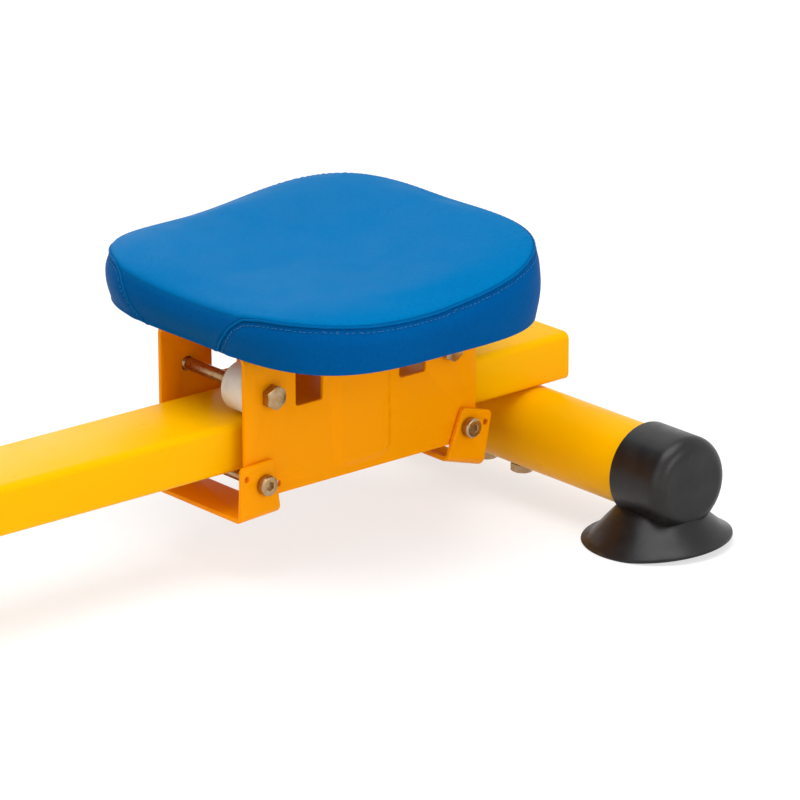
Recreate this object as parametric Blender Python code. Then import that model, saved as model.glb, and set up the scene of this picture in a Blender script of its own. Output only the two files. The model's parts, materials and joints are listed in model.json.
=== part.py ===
"""A light sliding-seat rowing machine: a flat rail on two tubular stabilisers with rubber suction feet, a
seat carriage that rolls along the rail, and, at the front end, two rowing arms damped by cylinders and two
tilting foot pedals.

The frame: metres, +Z up, the floor at Z = 0. +X points to the rear end of the rail. The rower faces -X, so
the rower's left is -Y. The origin lies on the floor, midway between the two stabilisers.
"""

import math

import bmesh
import bpy
from mathutils import Matrix, Vector

# Clearances and shared steps
TOUCH = 0.0003  # between pieces that touch
RUNNING = 0.0001  # radial, between a turning piece and its shaft
BOLT_CLEARANCE = 0.0002  # radial, around a bolt's shank
OVERRUN = 0.002  # how far a cutter passes the face it cuts
ROUND_STEPS = 20
SMALL_STEPS = 10
CORNER_STEPS = 3
SMOOTH_ANGLE = math.radians(32)

# Rail
RAIL_LENGTH = 1.200
RAIL_WIDTH = 0.060
RAIL_HEIGHT = 0.030
RAIL_WALL = 0.002
RAIL_CORNER = 0.0045
PLUG_DEPTH = 0.014
PLUG_RECESS = 0.0005

# Stabilisers
STABILISER_RADIUS = 0.025
STABILISER_WALL = 0.002
STABILISER_AXIS_HEIGHT = 0.040
STABILISER_TO_RAIL_END = 0.025
REAR_STABILISER_HALF = 0.161
FRONT_STABILISER_HALF = 0.200
STABILISER_BOLT_OFFSET = 0.0165

# Rubber foot: a cap on the tube's end and the suction cup under it
CAP_RADIUS = 0.0287
CAP_GRIP = 0.0365
CAP_END_WALL = 0.005
CAP_END_ROUND = 0.007
CUP_SETBACK = 0.010  # the cup's axis, inboard of the cap's middle
CUP_RADIUS = 0.045
CUP_RIM_WIDTH = 0.004
CUP_RIM_THICKNESS = 0.0016
CUP_HOLLOW_DEPTH = 0.005
CUP_NECK_RADIUS = 0.0225
CUP_NECK_HEIGHT = 0.026
CUP_FLANK_SHARES = ((0.22, 0.30), (0.50, 0.62), (0.80, 0.90), (1.0, 1.0))  # up, and in from the rim
CUP_HOLLOW_HALFWAY_SHARE = 0.7

# Fasteners
BOLT_RADIUS = 0.004
HEX_ACROSS_FLATS = 0.013
HEX_HEIGHT = 0.0053
ROUND_HEAD_RADIUS = 0.006
ROUND_HEAD_HEIGHT = 0.005
SOCKET_RADIUS = 0.0028
SOCKET_DEPTH = 0.0022
NUT_HEIGHT = 0.0065
BOLT_TAIL = 0.003
CHAMFER = 0.0007

# Seat carriage bracket
BRACKET_LENGTH = 0.176
BRACKET_WIDTH = 0.0806
BRACKET_SHEET = 0.003
BRACKET_BEND = 0.006
BRACKET_FOOT_ROUND = 0.003
BRACKET_TO_RAIL_END = 0.0836
BRACKET_DROP = 0.0152
WHEEL_RADIUS = 0.015
AXLE_INSET = 0.0208
WINDOW_WIDTH = 0.0202
WINDOW_HEIGHT = 0.024
WINDOW_ABOVE_RAIL = 0.005
WINDOW_ROUND = 0.002
WINDOW_OFFSET = 0.039
PAD_WIDTH = 0.040
PAD_RISE = 0.0016
PAD_ABOVE_FOOT = 0.0068
PAD_ROUND = 0.008
PAD_SLOPE = 0.002
SMALL_HOLE_RADIUS = 0.0019

# Rollers on the carriage's axles
ROLLER_LENGTH = 0.025
ROLLER_SIDE_GAP = 0.0006
ROLLER_CHAMFER = 0.0015

# Retainer straps under the rail
STRAP_SHEET = 0.003
STRAP_BEND = 0.005
STRAP_OUTER_WIDTH = 0.0185
STRAP_INNER_WIDTH = 0.0105
STRAP_TAPER = 0.0026
STRAP_UP = 0.0135
STRAP_DOWN = 0.0205
STRAP_CORNER = 0.003
STRAP_HOLE_OFFSET = 0.0125
STRAP_HOLE_RISE = 0.004
FRONT_STRAP_TILT = math.radians(3)
REAR_STRAP_TILT = math.radians(-16.5)
RETAINER_BELOW_RAIL = 0.0055
FRONT_RETAINER_INSET = 0.0127
REAR_RETAINER_INSET = 0.0084

# Seat
SEAT_BRACKET_TOP = 0.0432  # above the rail's top face
SEAT_SETBACK = 0.0035  # of the seat's centre, behind the carriage's
SEAT_HALF_LENGTH = 0.100
SEAT_HALF_WIDTH = 0.118
SEAT_SQUARENESS = 3.46  # 2 is an ellipse, more is squarer
SEAT_SIDE_DRAW = 0.0015
SEAT_UNDER_ROUND = 0.0035
SEAT_BAND_BULGE = 0.003
SEAT_MIDDLE_HEIGHT = 0.0314
SEAT_REAR_RISE = 0.0112
SEAT_END_RISE = 0.012
SEAT_SIDE_RISE = 0.0061
SEAT_CORNER_FALL = 0.0049
SEAT_CROWN = 0.0038
SEAT_EDGE_ROLL = 0.0287
SEAT_EDGE_FALL = 0.008
SEAT_UNDERSIDE_SHARES = (0.40, 0.80)
SEAT_TOP_SHARES = (0.75, 0.50, 0.25)
SEAT_OUTLINE_STEPS = 56
SEAT_BOARD_INSET = 0.014
SEAT_BOARD_CORNER = 0.040
SEAT_BOARD_THICKNESS = 0.012
SEAT_SCREW_RADIUS = 0.003
SEAT_SCREW_LENGTH = 0.012
SEAT_SCREW_HEAD_RADIUS = 0.0055
SEAT_SCREW_HEAD_HEIGHT = 0.003
SEAT_SCREW_INSET_X = 0.030
SEAT_SCREW_OFFSET_Y = 0.022

# Crossmember that carries the rowing arms
CROSSMEMBER_RADIUS = 0.019
CROSSMEMBER_WALL = 0.0025
CROSSMEMBER_HALF = 0.150
CROSSMEMBER_END = 0.018
SADDLE_LENGTH = 0.046
SADDLE_WIDTH = 0.054
SADDLE_THICKNESS = 0.006
ARM_HINGE_TO_FRONT_STABILISER = 0.175

# Rowing arms, in a crank's own terms: out along the arm, and sideways
ARM_RADIUS = 0.011
ARM_PLANE = 0.171
ARM_HUB_RADIUS = 0.015
ARM_HUB_LENGTH = 0.036
ARM_LENGTH = 0.370
ARM_STRAIGHT = 0.105
ARM_BEND_TO_GRIP = 0.015
ARM_BEND_STEPS = 8
ARM_SPLAY = 0.080
ARM_REST_LEAN = math.radians(-20)
ARM_PIVOT_RADIUS = 0.006
ARM_PIVOT_HEAD_RADIUS = 0.0105
ARM_PIVOT_HEAD_HEIGHT = 0.006
ARM_PIVOT_THREAD = 0.016
BUSH_WALL = 0.0022
GRIP_RADIUS = 0.0165
GRIP_LENGTH = 0.115
GRIP_END_WALL = 0.006
GRIP_ROUND = 0.004
CRANK_RADIUS = 0.085
CRANK_BOSS_RADIUS = 0.012
CRANK_BOSS_REACH = 0.0095

# Hydraulic cylinders
CYLINDER_PLANE = 0.141
CYLINDER_RADIUS = 0.0155
CYLINDER_WALL = 0.0025
BARREL_START = 0.013
BARREL_LENGTH = 0.114
BARREL_END_WALL = 0.006
BARREL_ROUND = 0.0025
EYE_RADIUS = 0.0105
EYE_WIDTH = 0.014
CYLINDER_NECK_RADIUS = 0.0066
ROD_RADIUS = 0.005
PISTON_LENGTH = 0.010
ROD_INNER_END = 0.034  # from the base pin, at rest
BASE_PIN_TO_STABILISER = 0.015
BASE_PIN_ABOVE_TUBE = 0.021
CLEVIS_SHEET = 0.004
CLEVIS_RADIUS = 0.012
CLEVIS_SIDE_GAP = 0.0008
CLEVIS_ROOT = 0.010

# Foot pedals
PEDAL_AXLE_RADIUS = 0.006
PEDAL_AXLE_ABOVE_RAIL = 0.040
PEDAL_AXLE_TO_ARM_HINGE = 0.095
PEDAL_BRACKET_SHEET = 0.004
PEDAL_BRACKET_LENGTH = 0.058
PEDAL_BRACKET_WIDTH = 0.048
PEDAL_BRACKET_TOP_RADIUS = 0.014
PEDAL_CHEEK_ARC = (20, 160)  # degrees
PEDAL_INNER = 0.034
PEDAL_WIDTH = 0.080
PEDAL_LENGTH = 0.240
PEDAL_HEEL_REACH = 0.052
PEDAL_SOLE = 0.005
PEDAL_CORNER = 0.026
PEDAL_RIM_WALL = 0.004
PEDAL_RIM_HEIGHT = 0.009
PEDAL_HEEL_HEIGHT = 0.026
PEDAL_HEEL_LENGTH = 0.050
PEDAL_HUB_RADIUS = 0.0105
PEDAL_HUB_DROP = 0.013
PEDAL_HUB_WEB = 0.017
PEDAL_TILT = math.radians(52)
PEDAL_RIB_WIDTH = 0.004
PEDAL_RIB_DEPTH = 0.008
PEDAL_RIB_OFFSET = 0.022
PEDAL_TREAD_RISE = 0.0015
PEDAL_TREAD_WIDTH = 0.006
PEDAL_TREAD_PITCH = 0.018
PEDAL_TREAD_COUNT = 6
STRAP_BAND_WIDTH = 0.036
STRAP_BAND_THICKNESS = 0.0022
STRAP_BAND_RISE = 0.058
STRAP_BAND_FROM_HEEL = 0.135
STRAP_ARCH_STEPS = 12

# Worked out from the above
WHEELBASE = RAIL_LENGTH - STABILISER_TO_RAIL_END - STABILISER_TO_RAIL_END
REAR_X = WHEELBASE / 2
FRONT_X = -REAR_X
RAIL_END_X = REAR_X + STABILISER_TO_RAIL_END
RAIL_BOTTOM = STABILISER_AXIS_HEIGHT + STABILISER_RADIUS + TOUCH
RAIL_TOP = RAIL_BOTTOM + RAIL_HEIGHT
BRACKET_REAR = RAIL_END_X - BRACKET_TO_RAIL_END
BRACKET_FRONT = BRACKET_REAR - BRACKET_LENGTH
BRACKET_X = (BRACKET_REAR + BRACKET_FRONT) / 2
BRACKET_TOP = RAIL_TOP + SEAT_BRACKET_TOP
BRACKET_FOOT = RAIL_BOTTOM - BRACKET_DROP
AXLE_Z = RAIL_TOP + WHEEL_RADIUS + TOUCH
FRONT_AXLE_X = BRACKET_FRONT + AXLE_INSET
REAR_AXLE_X = BRACKET_REAR - AXLE_INSET
RETAINER_Z = RAIL_BOTTOM - RETAINER_BELOW_RAIL
FRONT_RETAINER_X = BRACKET_FRONT + FRONT_RETAINER_INSET
REAR_RETAINER_X = BRACKET_REAR - REAR_RETAINER_INSET
STRAP_HALF = BRACKET_WIDTH / 2 + TOUCH + STRAP_SHEET
SEAT_BOTTOM = BRACKET_TOP + TOUCH
SEAT_X = BRACKET_X + SEAT_SETBACK
ARM_HINGE_X = FRONT_X + ARM_HINGE_TO_FRONT_STABILISER
ARM_HINGE_Z = RAIL_TOP + TOUCH + SADDLE_THICKNESS / 2 + CROSSMEMBER_RADIUS
BASE_PIN_X = FRONT_X + BASE_PIN_TO_STABILISER
BASE_PIN_Z = STABILISER_AXIS_HEIGHT + STABILISER_RADIUS + BASE_PIN_ABOVE_TUBE
CRANK_PIN_X = ARM_HINGE_X + CRANK_RADIUS * math.sin(ARM_REST_LEAN)
CRANK_PIN_Z = ARM_HINGE_Z + CRANK_RADIUS * math.cos(ARM_REST_LEAN)
PEDAL_AXLE_X = ARM_HINGE_X - PEDAL_AXLE_TO_ARM_HINGE
PEDAL_AXLE_Z = RAIL_TOP + PEDAL_AXLE_ABOVE_RAIL
ARM_BEND_END = ARM_LENGTH - GRIP_LENGTH - ARM_BEND_TO_GRIP
SIDES = {"left": -1, "right": 1}


# Scene and materials

def clear_scene():
    for old in list(bpy.data.objects):
        bpy.data.objects.remove(old, do_unlink=True)


def material(name, colour, roughness, metallic=0.0):
    made = bpy.data.materials.new(name)
    made.use_nodes = True
    shader = made.node_tree.nodes["Principled BSDF"]
    shader.inputs["Base Color"].default_value = (*colour, 1.0)
    shader.inputs["Roughness"].default_value = roughness
    shader.inputs["Metallic"].default_value = metallic
    return made


def make_materials():
    return {
        "yellow": material("yellow_powder_coat", (0.95, 0.55, 0.01), 0.35),
        "steel": material("zinc_plated_steel", (0.62, 0.60, 0.56), 0.30, 1.0),
        "rubber": material("black_rubber", (0.02, 0.02, 0.022), 0.60),
        "nylon": material("white_nylon", (0.85, 0.84, 0.80), 0.45),
        "vinyl": material("blue_vinyl", (0.01, 0.17, 0.50), 0.45),
        "board": material("plywood", (0.45, 0.30, 0.17), 0.70),
        "plastic": material("black_plastic", (0.03, 0.03, 0.032), 0.50),
        "foam": material("black_foam", (0.025, 0.025, 0.027), 0.85),
        "webbing": material("black_webbing", (0.03, 0.03, 0.033), 0.80),
        "barrel": material("black_cylinder_paint", (0.02, 0.02, 0.02), 0.30),
    }


# Mesh building

def add_object(name, mesh_data, finish, place=None):
    """A named object from a bmesh, smooth where it is round."""
    bmesh.ops.recalc_face_normals(mesh_data, faces=mesh_data.faces)
    mesh = bpy.data.meshes.new(name)
    mesh_data.to_mesh(mesh)
    mesh_data.free()
    mesh.shade_smooth()
    mesh.set_sharp_from_angle(angle=SMOOTH_ANGLE)
    mesh.materials.append(finish)
    made = bpy.data.objects.new(name, mesh)
    bpy.context.scene.collection.objects.link(made)
    if place:
        made.matrix_world = place
    return made


def tool_object(mesh_data, place=None):
    """A cutter or a shape to join, which isn't a piece itself."""
    made = add_object("tool", mesh_data, None, place)
    made.hide_render = True
    made.display_type = "WIRE"
    return made


def combine(target, mesh_data, operation, place=None):
    step = target.modifiers.new(operation.lower(), "BOOLEAN")
    step.operation = operation
    step.solver = "EXACT"
    step.object = tool_object(mesh_data, place)


def join(target, mesh_data, place=None):
    combine(target, mesh_data, "UNION", place)


def cut(target, mesh_data, place=None):
    combine(target, mesh_data, "DIFFERENCE", place)


def keep_inside(target, mesh_data, place=None):
    combine(target, mesh_data, "INTERSECT", place)


AXIS_POINT = {
    "X": lambda along, a, b: (along, a, b),
    "Y": lambda along, a, b: (a, along, b),
    "Z": lambda along, a, b: (a, b, along),
}


def prism(outline, axis, start, end):
    """A straight extrusion along an axis. The outline's pairs are (y, z), (x, z) or (x, y)."""
    point = AXIS_POINT[axis]
    shape = bmesh.new()
    low = [shape.verts.new(point(start, a, b)) for a, b in outline]
    high = [shape.verts.new(point(end, a, b)) for a, b in outline]
    shape.faces.new(low)
    shape.faces.new(reversed(high))
    for k, corner in enumerate(low):
        following = (k + 1) % len(low)
        shape.faces.new((corner, high[k], high[following], low[following]))
    return shape


def sleeve(outer, inner, axis, start, end):
    """A straight extrusion whose hollow runs right through. Both outlines have as many points."""
    point = AXIS_POINT[axis]
    shape = bmesh.new()
    loops = [
        [shape.verts.new(point(along, a, b)) for a, b in outline]
        for outline, along in ((outer, start), (outer, end), (inner, end), (inner, start))
    ]
    for index, loop in enumerate(loops):
        beside = loops[(index + 1) % len(loops)]
        for k, corner in enumerate(loop):
            following = (k + 1) % len(loop)
            shape.faces.new((corner, beside[k], beside[following], loop[following]))
    return shape


def box(low, high):
    outline = [(low[0], low[1]), (high[0], low[1]), (high[0], high[1]), (low[0], high[1])]
    return prism(outline, "Z", low[2], high[2])


def arc(centre_a, centre_b, radius, start, end, steps):
    """Points on an arc, both ends included, angles in degrees."""
    angles = [math.radians(start + (end - start) * k / steps) for k in range(steps + 1)]
    return [(centre_a + radius * math.cos(t), centre_b + radius * math.sin(t)) for t in angles]


def rounded_rectangle(low_a, low_b, high_a, high_b, radius, steps=CORNER_STEPS):
    corners = (
        (high_a - radius, high_b - radius, 0),
        (low_a + radius, high_b - radius, 90),
        (low_a + radius, low_b + radius, 180),
        (high_a - radius, low_b + radius, 270),
    )
    outline = []
    for a, b, start in corners:
        outline += arc(a, b, radius, start, start + 90, steps)
    return outline


def rounded_outline(corners, radius, steps=CORNER_STEPS):
    """A polygon whose corners are all rounded by one radius."""
    outline = []
    for k, corner in enumerate(corners):
        here = Vector(corner)
        before = (Vector(corners[k - 1]) - here).normalized()
        after = (Vector(corners[(k + 1) % len(corners)]) - here).normalized()
        half = before.angle(after) / 2
        middle = here + (before + after).normalized() * radius / math.sin(half)
        start = here + before * radius / math.tan(half) - middle
        end = here + after * radius / math.tan(half) - middle
        turn = start.angle_signed(end)
        for step in range(steps + 1):
            spoke = start.copy()
            spoke.rotate(Matrix.Rotation(-turn * step / steps, 2))
            outline.append(tuple(middle + spoke))
    return outline


def regular_polygon(radius, sides, turn=0.0):
    angles = [2 * math.pi * k / sides + turn for k in range(sides)]
    return [(radius * math.cos(t), radius * math.sin(t)) for t in angles]


def shifted(outline, by_a, by_b):
    return [(a + by_a, b + by_b) for a, b in outline]


AXIS_TURN = {
    "X": Matrix.Rotation(math.radians(90), 4, "Y"),
    "Y": Matrix.Rotation(math.radians(-90), 4, "X"),
    "Z": Matrix.Identity(4),
}


def turned(profile, axis="Z", centre=(0, 0, 0), steps=ROUND_STEPS):
    """A turned solid. The profile's pairs are (along the axis, radius). A profile that starts and ends on the
    axis makes a solid, and any other one closes on itself into a ring."""
    shape = bmesh.new()
    rings = []
    for along, radius in profile:
        circle = [(0, 0)] if radius == 0 else regular_polygon(radius, steps)
        rings.append([shape.verts.new((a, b, along)) for a, b in circle])
    pairs = list(zip(rings, rings[1:]))
    if len(rings[0]) > 1:
        pairs.append((rings[-1], rings[0]))
    for low, high in pairs:
        for k in range(steps):
            following = (k + 1) % steps
            corners = [low[k % len(low)], low[following % len(low)]]
            corners += [high[following % len(high)], high[k % len(high)]]
            distinct = list(dict.fromkeys(corners))
            if len(distinct) > 2:
                shape.faces.new(distinct)
    shape.transform(Matrix.Translation(centre) @ AXIS_TURN[axis])
    return shape


def rod(radius, axis, start, end, centre=(0, 0, 0), steps=SMALL_STEPS):
    """A plain round bar or drill."""
    return turned([(start, 0), (start, radius), (end, radius), (end, 0)], axis, centre, steps)


def chamfered_rod(radius, axis, start, end, centre=(0, 0, 0), chamfer=CHAMFER, steps=SMALL_STEPS):
    profile = [
        (start, 0),
        (start, radius - chamfer),
        (start + chamfer, radius),
        (end - chamfer, radius),
        (end, radius - chamfer),
        (end, 0),
    ]
    return turned(profile, axis, centre, steps)


def pipe(outer, inner, axis, start, end, centre=(0, 0, 0), steps=ROUND_STEPS):
    profile = [(start, inner), (start, outer), (end, outer), (end, inner)]
    return turned(profile, axis, centre, steps)


def swept(path, radius, steps=SMALL_STEPS):
    """A round bar along a smooth path."""
    shape = bmesh.new()
    points = [Vector(p) for p in path]
    rings = []
    for k, here in enumerate(points):
        heading = (points[min(k + 1, len(points) - 1)] - points[max(k - 1, 0)]).normalized()
        across = heading.cross(Vector((1, 0, 0))).normalized()
        other = heading.cross(across)
        circle = regular_polygon(radius, steps)
        rings.append([shape.verts.new(here + across * a + other * b) for a, b in circle])
    shape.faces.new(rings[0])
    shape.faces.new(reversed(rings[-1]))
    for low, high in zip(rings, rings[1:]):
        for k in range(steps):
            following = (k + 1) % steps
            shape.faces.new((low[k], low[following], high[following], high[k]))
    return shape


def hex_prism(axis, start, end, centre, across_flats=HEX_ACROSS_FLATS):
    """A hexagon bar along an axis through centre."""
    outer = across_flats / math.sqrt(3)
    return turned([(start, 0), (start, outer), (end, outer), (end, 0)], axis, centre, 6)


# Fasteners, each along Y or Z with its head at the start

def hex_bolt(name, finish, axis, centre, head_side, reach, radius=BOLT_RADIUS):
    """A hex bolt whose head's underside lies at centre, with the shank running away from head_side."""
    bolt = add_object(
        name,
        chamfered_rod(radius, axis, *sorted((head_side * CHAMFER, -head_side * reach)), centre),
        finish,
    )
    head = sorted((0, head_side * HEX_HEIGHT))
    join(bolt, hex_prism(axis, *head, centre))
    return bolt


def socket_bolt(name, finish, axis, centre, head_side, reach):
    """A round-headed bolt with a hexagon socket."""
    bolt = add_object(
        name,
        chamfered_rod(BOLT_RADIUS, axis, *sorted((head_side * CHAMFER, -head_side * reach)), centre),
        finish,
    )
    head = sorted((0, head_side * ROUND_HEAD_HEIGHT))
    join(bolt, chamfered_rod(ROUND_HEAD_RADIUS, axis, *head, centre, steps=ROUND_STEPS))
    floor = head_side * (ROUND_HEAD_HEIGHT - SOCKET_DEPTH)
    mouth = head_side * (ROUND_HEAD_HEIGHT + OVERRUN)
    cut(bolt, hex_prism(axis, *sorted((floor, mouth)), centre, SOCKET_RADIUS * math.sqrt(3)))
    return bolt


def hex_nut(name, finish, axis, centre, side, bore=BOLT_RADIUS + BOLT_CLEARANCE):
    """A nut whose seat lies at centre and whose body stands out to side."""
    nut = add_object(name, hex_prism(axis, *sorted((0, side * NUT_HEIGHT)), centre), finish)
    drill = sorted((-side * OVERRUN, side * (NUT_HEIGHT + OVERRUN)))
    cut(nut, rod(bore, axis, *drill, centre))
    return nut


# Frame

def make_rail(finish):
    half = RAIL_WIDTH / 2
    outer = rounded_rectangle(-half, RAIL_BOTTOM, half, RAIL_TOP, RAIL_CORNER)
    inner = rounded_rectangle(
        -half + RAIL_WALL,
        RAIL_BOTTOM + RAIL_WALL,
        half - RAIL_WALL,
        RAIL_TOP - RAIL_WALL,
        RAIL_CORNER - RAIL_WALL,
    )
    rail = add_object("main_rail", sleeve(outer, inner, "X", -RAIL_END_X, RAIL_END_X), finish["yellow"])
    for x in (FRONT_X, REAR_X):
        for side in (-1, 1):
            centre = (x, side * STABILISER_BOLT_OFFSET, RAIL_BOTTOM)
            join(rail, hex_prism("Z", RAIL_WALL / 2, RAIL_WALL + NUT_HEIGHT, centre))
            drill_top = RAIL_WALL + NUT_HEIGHT + OVERRUN
            cut(rail, rod(BOLT_RADIUS + BOLT_CLEARANCE, "Z", -OVERRUN, drill_top, centre))


def make_rail_plug(name, end, finish):
    half = RAIL_WIDTH / 2 - RAIL_WALL - TOUCH
    low = RAIL_BOTTOM + RAIL_WALL + TOUCH
    high = RAIL_TOP - RAIL_WALL - TOUCH
    face = end * (RAIL_END_X - PLUG_RECESS)
    outline = rounded_rectangle(-half, low, half, high, RAIL_CORNER - RAIL_WALL)
    add_object(name, prism(outline, "X", *sorted((face, face - end * PLUG_DEPTH))), finish["plastic"])


def make_stabiliser(name, x, half, finish):
    centre = (x, 0, STABILISER_AXIS_HEIGHT)
    inner = STABILISER_RADIUS - STABILISER_WALL
    tube = add_object(name, pipe(STABILISER_RADIUS, inner, "Y", -half, half, centre), finish["yellow"])
    reach = STABILISER_RADIUS + OVERRUN
    for side in (-1, 1):
        place = (x, side * STABILISER_BOLT_OFFSET, STABILISER_AXIS_HEIGHT)
        cut(tube, rod(BOLT_RADIUS + BOLT_CLEARANCE, "Z", -reach, reach, place))
    return tube


def add_cylinder_clevises(tube):
    """Two ears on each side of the front stabiliser that hold a cylinder's base eye."""
    gap = EYE_WIDTH / 2 + CLEVIS_SIDE_GAP
    for side in SIDES.values():
        for ear in (-1, 1):
            near = side * CYLINDER_PLANE + ear * gap
            far = near + ear * CLEVIS_SHEET
            start, end = sorted((near, far))
            join(tube, clevis_ear(start, end))
            centre = (BASE_PIN_X, 0, BASE_PIN_Z)
            cut(tube, rod(BOLT_RADIUS + RUNNING, "Y", start - OVERRUN, end + OVERRUN, centre))


def clevis_ear(start, end):
    """A plate with a round top, which runs down into the tube."""
    root = STABILISER_AXIS_HEIGHT + STABILISER_RADIUS - STABILISER_WALL / 2
    top = arc(BASE_PIN_X, BASE_PIN_Z, CLEVIS_RADIUS, 0, 180, 2 * CORNER_STEPS)
    foot_front = BASE_PIN_X - CLEVIS_RADIUS
    foot_rear = FRONT_X + CLEVIS_ROOT
    foot_fall = STABILISER_RADIUS - STABILISER_WALL / 2
    rear_z = STABILISER_AXIS_HEIGHT + math.sqrt(foot_fall**2 - CLEVIS_ROOT**2)
    rear_edge = [(BASE_PIN_X + CLEVIS_RADIUS, BASE_PIN_Z - CLEVIS_RADIUS / 2), (foot_rear, rear_z)]
    return prism(top + [(foot_front, root)] + rear_edge[::-1], "Y", start, end)


def make_stabiliser_bolts(finish):
    reach = STABILISER_RADIUS * 2 + TOUCH + RAIL_WALL + NUT_HEIGHT
    for end, x in (("front", FRONT_X), ("rear", REAR_X)):
        for word, side in SIDES.items():
            head_face = STABILISER_AXIS_HEIGHT - STABILISER_RADIUS - TOUCH
            centre = (x, side * STABILISER_BOLT_OFFSET, head_face)
            hex_bolt(f"{end}_stabiliser_bolt_{word}", finish["steel"], "Z", centre, -1, reach)


def cup_profile():
    """Half the section of the suction cup: (height, radius), from the hollow's crown out and up the flank."""
    rim = CUP_RADIUS - CUP_RIM_WIDTH
    flank = [(CUP_RIM_THICKNESS, CUP_RADIUS)]
    for height_share, inset_share in CUP_FLANK_SHARES:
        inset = (CUP_RADIUS - CUP_NECK_RADIUS) * inset_share
        flank.append((CUP_NECK_HEIGHT * height_share, CUP_RADIUS - inset))
    half_depth = CUP_HOLLOW_DEPTH * CUP_HOLLOW_HALFWAY_SHARE
    hollow = [(CUP_HOLLOW_DEPTH, 0), (half_depth, rim / 2), (0, rim), (0, CUP_RADIUS)]
    return hollow + flank + [(CUP_NECK_HEIGHT, 0)]


def make_foot(name, x, side, half, finish):
    """One rubber moulding: the cap over the tube's end and the suction cup below it."""
    bore_end = half + TOUCH
    end = bore_end + CAP_END_WALL
    start = half - CAP_GRIP
    profile = [(start, 0), (start, CAP_RADIUS), (end - CAP_END_ROUND, CAP_RADIUS)]
    for k in range(1, CORNER_STEPS + 1):
        turn = math.pi / 2 * k / CORNER_STEPS
        along = end - CAP_END_ROUND + CAP_END_ROUND * math.sin(turn)
        profile.append((along, CAP_RADIUS - CAP_END_ROUND + CAP_END_ROUND * math.cos(turn)))
    profile.append((end, 0))
    centre = (x, 0, STABILISER_AXIS_HEIGHT)
    foot = add_object(name, turned(mirror_profile(profile, side), "Y", centre), finish["rubber"])
    cup_axis = (start + end) / 2 - CUP_SETBACK
    join(foot, turned(cup_profile(), "Z", (x, side * cup_axis, 0)))
    bore = sorted((side * (cup_axis - CUP_RADIUS), side * bore_end))
    cut(foot, rod(STABILISER_RADIUS + TOUCH, "Y", *bore, centre, steps=ROUND_STEPS))


def mirror_profile(profile, side):
    return [(side * along, radius) for along, radius in profile]


def make_frame(finish):
    make_rail(finish)
    make_rail_plug("rail_rear_plug", 1, finish)
    make_rail_plug("rail_front_plug", -1, finish)
    make_stabiliser("rear_stabiliser", REAR_X, REAR_STABILISER_HALF, finish)
    front = make_stabiliser("front_stabiliser", FRONT_X, FRONT_STABILISER_HALF, finish)
    add_cylinder_clevises(front)
    make_stabiliser_bolts(finish)
    for word, side in SIDES.items():
        make_foot(f"rear_{word}_foot", REAR_X, side, REAR_STABILISER_HALF, finish)
        make_foot(f"front_{word}_foot", FRONT_X, side, FRONT_STABILISER_HALF, finish)


# Seat carriage

def bracket_section(half, top, foot, bend):
    """The outline of a filled channel, open side down: (y, z)."""
    outline = [(-half, foot)]
    outline += arc(-half + bend, top - bend, bend, 180, 90, CORNER_STEPS)
    outline += arc(half - bend, top - bend, bend, 90, 0, CORNER_STEPS)
    return outline + [(half, foot)]


def make_bracket(finish):
    half = BRACKET_WIDTH / 2
    inner = half - BRACKET_SHEET
    outer_line = bracket_section(half, BRACKET_TOP, BRACKET_FOOT, BRACKET_BEND)
    inner_line = bracket_section(
        inner, BRACKET_TOP - BRACKET_SHEET, BRACKET_FOOT, BRACKET_BEND - BRACKET_SHEET
    )
    outline = outer_line + inner_line[::-1]
    channel = prism(outline, "X", BRACKET_FRONT, BRACKET_REAR)
    bracket = add_object("carriage_bracket", channel, finish["yellow"])
    for side in (-1, 1):
        join(bracket, pressed_pad(side, half, PAD_RISE, 0))
    for side in (-1, 1):
        cut(bracket, pressed_pad(side, inner, PAD_RISE, BRACKET_SHEET))
    round_bracket_feet(bracket)
    reach = half + PAD_RISE + OVERRUN
    for side in (-1, 1):
        x = BRACKET_X + side * WINDOW_OFFSET
        low = RAIL_TOP + WINDOW_ABOVE_RAIL
        window = rounded_rectangle(
            x - WINDOW_WIDTH / 2, low, x + WINDOW_WIDTH / 2, low + WINDOW_HEIGHT, WINDOW_ROUND
        )
        cut(bracket, prism(window, "Y", -reach, reach))
    holes = [(FRONT_AXLE_X, AXLE_Z, BOLT_RADIUS), (REAR_AXLE_X, AXLE_Z, BOLT_RADIUS)]
    holes += [(FRONT_RETAINER_X, RETAINER_Z, BOLT_RADIUS), (REAR_RETAINER_X, RETAINER_Z, BOLT_RADIUS)]
    for x, z, radius in holes:
        cut(bracket, rod(radius + BOLT_CLEARANCE, "Y", -reach, reach, (x, 0, z)))
    x = FRONT_RETAINER_X + STRAP_HOLE_OFFSET
    cut(bracket, rod(SMALL_HOLE_RADIUS, "Y", -reach, reach, (x, 0, RETAINER_Z)))
    for x, y in seat_screw_places():
        drill = SEAT_SCREW_RADIUS + BOLT_CLEARANCE
        cut(bracket, rod(drill, "Z", -OVERRUN - BRACKET_SHEET, OVERRUN, (x, y, BRACKET_TOP)))
    return bracket


def pressed_pad(side, face, rise, sunk):
    """The raised field in the middle of a side plate, or the hollow behind it."""
    inset = sunk / 2
    low = BRACKET_FOOT + PAD_ABOVE_FOOT + inset
    high = BRACKET_TOP - BRACKET_BEND
    width = PAD_WIDTH / 2 - inset
    outline = rounded_rectangle(BRACKET_X - width, low, BRACKET_X + width, high, PAD_ROUND)
    start = face - BRACKET_SHEET / 2 + (0 if sunk == 0 else -OVERRUN + BRACKET_SHEET / 2)
    return prism(outline, "Y", *sorted((side * start, side * (face + rise))))


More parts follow.
